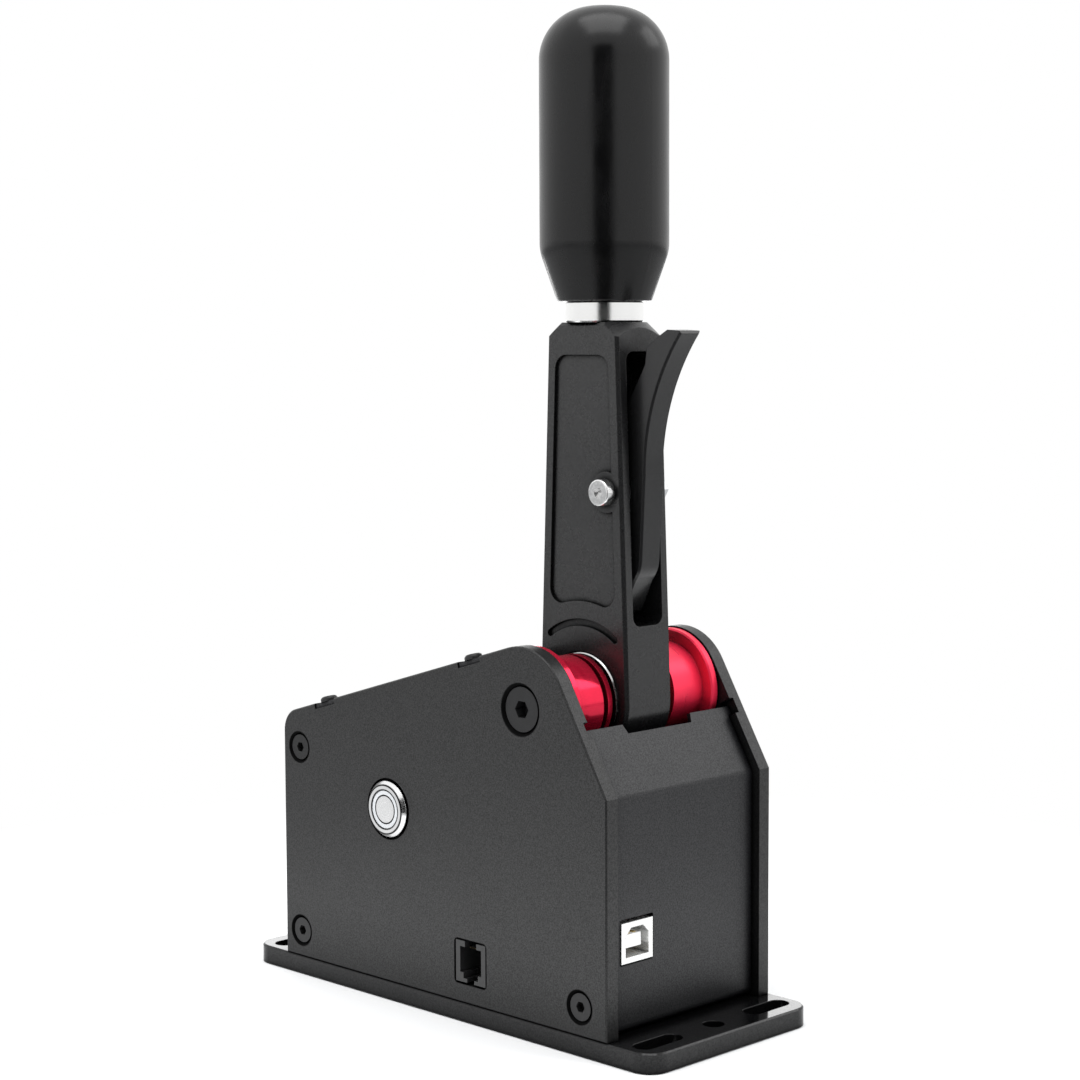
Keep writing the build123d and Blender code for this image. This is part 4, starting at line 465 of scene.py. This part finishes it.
looks = {
    "base_plate": base_coat, "side_plate_near": plate_coat, "side_plate_far": plate_coat,
    "front_cover": cover_coat, "top_cover": cover_coat, "cover_screws": oxide,
    "side_screws": oxide, "pivot_screws": oxide, "base_screws": oxide,
    "cross_bar_front": tower_coat, "cross_bar_rear": tower_coat, "cross_rod_top": alloy,
    "rod_block_rear": tower_coat, "rod_block_screws": oxide, "guide_rod": rod_steel,
    "bumpers": bumper_rubber, "spacer_near": red_near_shaded_copy, "spacer_far": red_far_lit_copy,
    "bearing_outer_rings": ring_steel, "bearing_inner_rings": ring_steel,
    "bearing_balls": ball_steel, "bearing_seals": seal_rubber, "lever_arm": lever_coat,
    "knob_stud": stud_steel, "knob_collar": bright_turned, "knob": knob_black,
    "knob_insert": brass, "trigger": trigger_black, "trigger_screw": screw_steel,
    "trigger_nut": zinc, "trigger_washers": zinc, "trigger_spring": spring_steel,
    "trigger_magnet": nickel, "trigger_sensor_board": sensor_circuit,
    "trigger_sensor_chip": chip_black, "shuttle": alloy, "shuttle_bush": bronze,
    "shuttle_pin": rod_steel, "drive_roller": roller_nylon, "shuttle_magnet": nickel,
    "spring_front": spring_steel, "spring_rear": spring_steel, "main_board": main_circuit,
    "board_chips": chip_black, "board_standoffs": brass, "usb_standoffs": brass,
    "board_screws": zinc, "rj_jack": jack_black, "rj_contacts": dark_gold,
    "usb_board": usb_circuit, "usb_shell": plated, "usb_tongue": tongue_white,
    "usb_contacts": gold, "button_bezel": button_steel, "button_cap": cap_steel,
    "button_halo": halo_pale, "button_nut": zinc, "button_switch": switch_black,
    "button_terminals": gold, "button_spring": spring_steel,
}
missing = sorted(set(nodes) - set(looks))
if missing:
    raise SystemExit(f"no material for {missing}")
for name, obj in nodes.items():
    for held in obj.material_slots:
        held.material = looks[name]


# Springs, wound as real coils in the place of their CAD sleeves

# The closed ends' rise in wires a turn, and the coil's points along a turn and round the wire.
CLOSED_PITCH = 1.04
POINTS_A_TURN, POINTS_AROUND = 36, 12


def coil(name, node, axis, wire, turns, material):
    """A compression spring with closed, ground ends, as long and wide as its CAD node."""
    low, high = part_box(node)
    length = high[axis] - low[axis]
    side, other = [i for i in range(3) if i != axis]
    outer = min(high[side] - low[side], high[other] - low[other]) / 2
    middle = (low + high) / 2
    path_radius = outer - wire / 2
    end_pitch = wire * CLOSED_PITCH
    free = (length - 0.5 * wire - 2 * end_pitch) / (turns - 2)
    per_turn, around = POINTS_A_TURN, POINTS_AROUND
    steps = int(turns * per_turn)
    verts, faces = [], []
    for i in range(steps + 1):
        t = i / per_turn
        if t < 1:
            s = 0.25 * wire + t * end_pitch
        elif t > turns - 1:
            s = length - 0.25 * wire - (turns - t) * end_pitch
        else:
            s = 0.25 * wire + end_pitch + (t - 1) * free
        angle = 2 * math.pi * t
        c, d = math.cos(angle), math.sin(angle)
        for k in range(around):
            u = 2 * math.pi * k / around
            r = path_radius + wire / 2 * math.cos(u)
            along = min(max(s + wire / 2 * math.sin(u), 0.0), length)
            point = [0.0, 0.0, 0.0]
            point[axis] = low[axis] + along
            point[side] = middle[side] + r * c
            point[other] = middle[other] + r * d
            verts.append(point)
    for i in range(steps):
        for k in range(around):
            a, b = i * around + k, i * around + (k + 1) % around
            faces.append((a, b, b + around, a + around))
    faces.append(tuple(range(around - 1, -1, -1)))
    faces.append(tuple(steps * around + k for k in range(around)))
    mesh = bpy.data.meshes.new(name)
    mesh.from_pydata(verts, [], faces)
    mesh.update()
    mesh.shade_smooth()
    mesh.materials.append(material)
    obj = bpy.data.objects.new(name, mesh)
    scene.collection.objects.link(obj)
    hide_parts(node)
    return obj


# Each coil's name, its CAD node, axis, wire in metres, turns, the two bodies that it stands
# between, and whether the first of them is at the high end.
SPRINGS = (
    ("coil_front", "spring_front", 0, 0.0013, 6.0, "housing", "shuttle", True),
    ("coil_rear", "spring_rear", 0, 0.0013, 6.0, "housing", "shuttle", False),
    ("coil_trigger", "trigger_spring", 0, 0.0008, 11.0, "lever", "trigger", False),
    ("coil_button", "button_spring", 1, 0.0006, 5.0, "housing", "button", True),
)
for name, node, axis, wire, turns, still, moving, flip in SPRINGS:
    spring = coil(name, node, axis, wire, turns, spring_steel)
    ends = [Vector(corner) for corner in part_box(node)]
    for side in range(3):
        if side != axis:
            ends[0][side] = ends[1][side] = (ends[0][side] + ends[1][side]) / 2
    if flip:
        ends.reverse()
    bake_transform(spring)


# The stage: a white room, soft lamps, a dark card behind the camera with a dark strip on the floor
# that leads to it, and a bright card behind the part. The camera doesn't see the cards and the
# strip, and they cast no shadow.

world = bpy.data.worlds.new("white_room")
scene.world = world
world.use_nodes = True
tree = world.node_tree
tree.nodes.clear()
path = tree.nodes.new("ShaderNodeLightPath")
seen = math_node(tree, "MAXIMUM", path.outputs["Is Camera Ray"],
                 math_node(tree, "MAXIMUM", path.outputs["Is Glossy Ray"],
                           path.outputs["Is Transmission Ray"]))
white = add(tree, "ShaderNodeBackground", Color=(1, 1, 1, 1), Strength=1.0)
fill = add(tree, "ShaderNodeBackground", Color=(0.97, 0.985, 1.0, 1), Strength=0.8)
room = tree.nodes.new("ShaderNodeMixShader")
put(tree, room.inputs[0], seen)
put(tree, room.inputs[1], fill.outputs[0])
put(tree, room.inputs[2], white.outputs[0])
out = tree.nodes.new("ShaderNodeOutputWorld")
put(tree, out.inputs["Surface"], room.outputs[0])


def slab(name, corners, material):
    """One flat face of the stage."""
    mesh = bpy.data.meshes.new(name)
    mesh.from_pydata(corners, [], [tuple(range(len(corners)))])
    mesh.materials.append(material)
    obj = bpy.data.objects.new(name, mesh)
    scene.collection.objects.link(obj)
    return obj


# The floor, in metres: half its side, how far under the part it lies, where it fades to white for
# the camera, and where it starts to look darker in reflections, and by how much.
FLOOR, FLOOR_DROP = 4.0, 0.0003
FADE_FROM, FADE_TO = 0.16, 0.34
GLOSS_FROM, GLOSS_TO, GLOSS_DIM = 0.17, 0.30, 0.55
floor_white, floor_tree, floor_surface = shader("floor_white", Roughness=0.9)
floor_surface.inputs["Specular IOR Level"].default_value = 0.0
put(floor_tree, floor_surface.inputs["Base Color"],
    ramp(floor_tree, noise(floor_tree, place(floor_tree), 0.4), (0.955,) * 3, (0.965,) * 3))
distance = floor_tree.nodes.new("ShaderNodeVectorMath")
distance.operation = "LENGTH"
put(floor_tree, distance.inputs[0], place(floor_tree, (1, 1, 0)))
far = spread(floor_tree, distance.outputs["Value"], 0.0, 1.0, FADE_FROM, FADE_TO)
floor_path = floor_tree.nodes.new("ShaderNodeLightPath")
glow = add(floor_tree, "ShaderNodeEmission", Color=(1, 1, 1, 1), Strength=1.0)
blank = floor_tree.nodes.new("ShaderNodeMixShader")
put(floor_tree, blank.inputs[0],
    math_node(floor_tree, "MULTIPLY", far, floor_path.outputs["Is Camera Ray"]))
put(floor_tree, blank.inputs[1], floor_surface.outputs[0])
put(floor_tree, blank.inputs[2], glow.outputs[0])
dim = floor_tree.nodes.new("ShaderNodeMixShader")
ring_share = math_node(
    floor_tree, "MULTIPLY", GLOSS_DIM,
    spread(floor_tree, distance.outputs["Value"], 0.0, 1.0, GLOSS_FROM, GLOSS_TO))
put(floor_tree, dim.inputs[0],
    math_node(floor_tree, "MULTIPLY", ring_share, floor_path.outputs["Is Glossy Ray"]))
put(floor_tree, dim.inputs[1], blank.outputs[0])
put(floor_tree, dim.inputs[2],
    add(floor_tree, "ShaderNodeEmission", Color=(0, 0, 0, 1), Strength=0.0).outputs[0])
put(floor_tree, floor_tree.nodes["Material Output"].inputs["Surface"], dim.outputs[0])
slab("floor", [(x, y, -FLOOR_DROP) for x, y in (
    (-FLOOR, -FLOOR), (FLOOR, -FLOOR), (FLOOR, FLOOR), (-FLOOR, FLOOR))], floor_white)

card_black, card_tree, card_surface = shader("card_black", Roughness=1.0)
card_surface.inputs["Specular IOR Level"].default_value = 0.0
put(card_tree, card_surface.inputs["Base Color"],
    ramp(card_tree, noise(card_tree, place(card_tree), 0.2), (0.002,) * 3, (0.004,) * 3))
# The dark card's distance and height in metres, and how far it reaches to each side as seen from
# the knob. The strip on the floor leads from near the part to the card.
CARD_AWAY, CARD_LEFT, CARD_RIGHT = 1.6, math.radians(21), math.radians(15)
CARD_HIGH = 1.1
STRIP_AWAY, STRIP_HALF = 0.16, 0.07
facing = Vector((math.sin(AZIMUTH), -math.cos(AZIMUTH), 0))
across = Vector((math.cos(AZIMUTH), math.sin(AZIMUTH), 0))
middle = Vector(KNOB_AXIS)
middle.z = 0
left_edge = middle + CARD_AWAY * (facing - math.tan(CARD_LEFT) * across)
right_edge = middle + CARD_AWAY * (facing + math.tan(CARD_RIGHT) * across)
card = slab("card", [tuple(left_edge), tuple(right_edge), (right_edge.x, right_edge.y, CARD_HIGH),
                     (left_edge.x, left_edge.y, CARD_HIGH)], card_black)
strip_near = middle + STRIP_AWAY * facing
strip = slab("strip", [tuple(strip_near - STRIP_HALF * across),
                       tuple(strip_near + STRIP_HALF * across),
                       tuple(right_edge), tuple(left_edge)], card_black)

# The bright card behind the part: its distance, half its width, and its low and high edges.
BEHIND, BEHIND_HALF, BEHIND_LOW, BEHIND_HIGH = 0.45, 0.22, 0.07, 0.19
card_white, bright_tree, bright_surface = shader("card_white", Roughness=1.0)
bright_tree.nodes.remove(bright_surface)
bright = add(bright_tree, "ShaderNodeEmission", Color=(1, 1, 1, 1))
put(bright_tree, bright.inputs["Strength"],
    spread(bright_tree, noise(bright_tree, place(bright_tree), 0.3), 3.0, 3.3))
put(bright_tree, bright_tree.nodes["Material Output"].inputs["Surface"], bright.outputs[0])
near_side = -BEHIND * facing - BEHIND_HALF * across
far_side = -BEHIND * facing + BEHIND_HALF * across
behind = slab("behind", [(p.x, p.y, z) for p, z in (
    (near_side, BEHIND_LOW), (far_side, BEHIND_LOW), (far_side, BEHIND_HIGH),
    (near_side, BEHIND_HIGH))], card_white)
for shown in (card, strip, behind):
    shown.visible_diffuse = False
    shown.visible_shadow = False
    shown.visible_camera = False


LAMP_AIM = Vector((0.02, 0, 0.13))


def lamp(name, azimuth, elevation, away, width, height, watts):
    """A soft white lamp, aimed at the part from an azimuth and an elevation in degrees."""
    data = bpy.data.lights.new(name, "AREA")
    data.shape = "RECTANGLE"
    data.size, data.size_y = width, height
    data.energy = watts
    a, e = math.radians(azimuth), math.radians(elevation)
    direction = Vector((math.sin(a) * math.cos(e), -math.cos(a) * math.cos(e), math.sin(e)))
    obj = bpy.data.objects.new(name, data)
    obj.location = LAMP_AIM + away * direction
    obj.rotation_euler = direction.to_track_quat("Z", "Y").to_euler()
    scene.collection.objects.link(obj)
    return obj


lamp("lamp_left", -35, 32, 1.3, 0.8, 1.0, 9).visible_glossy = False
lamp("lamp_right", 120, 30, 1.4, 0.7, 1.0, 6).visible_glossy = False
lamp("lamp_high", 148, 37, 1.4, 0.7, 0.6, 1.9)
lamp("lamp_top", 45, 80, 1.4, 1.2, 1.2, 10)
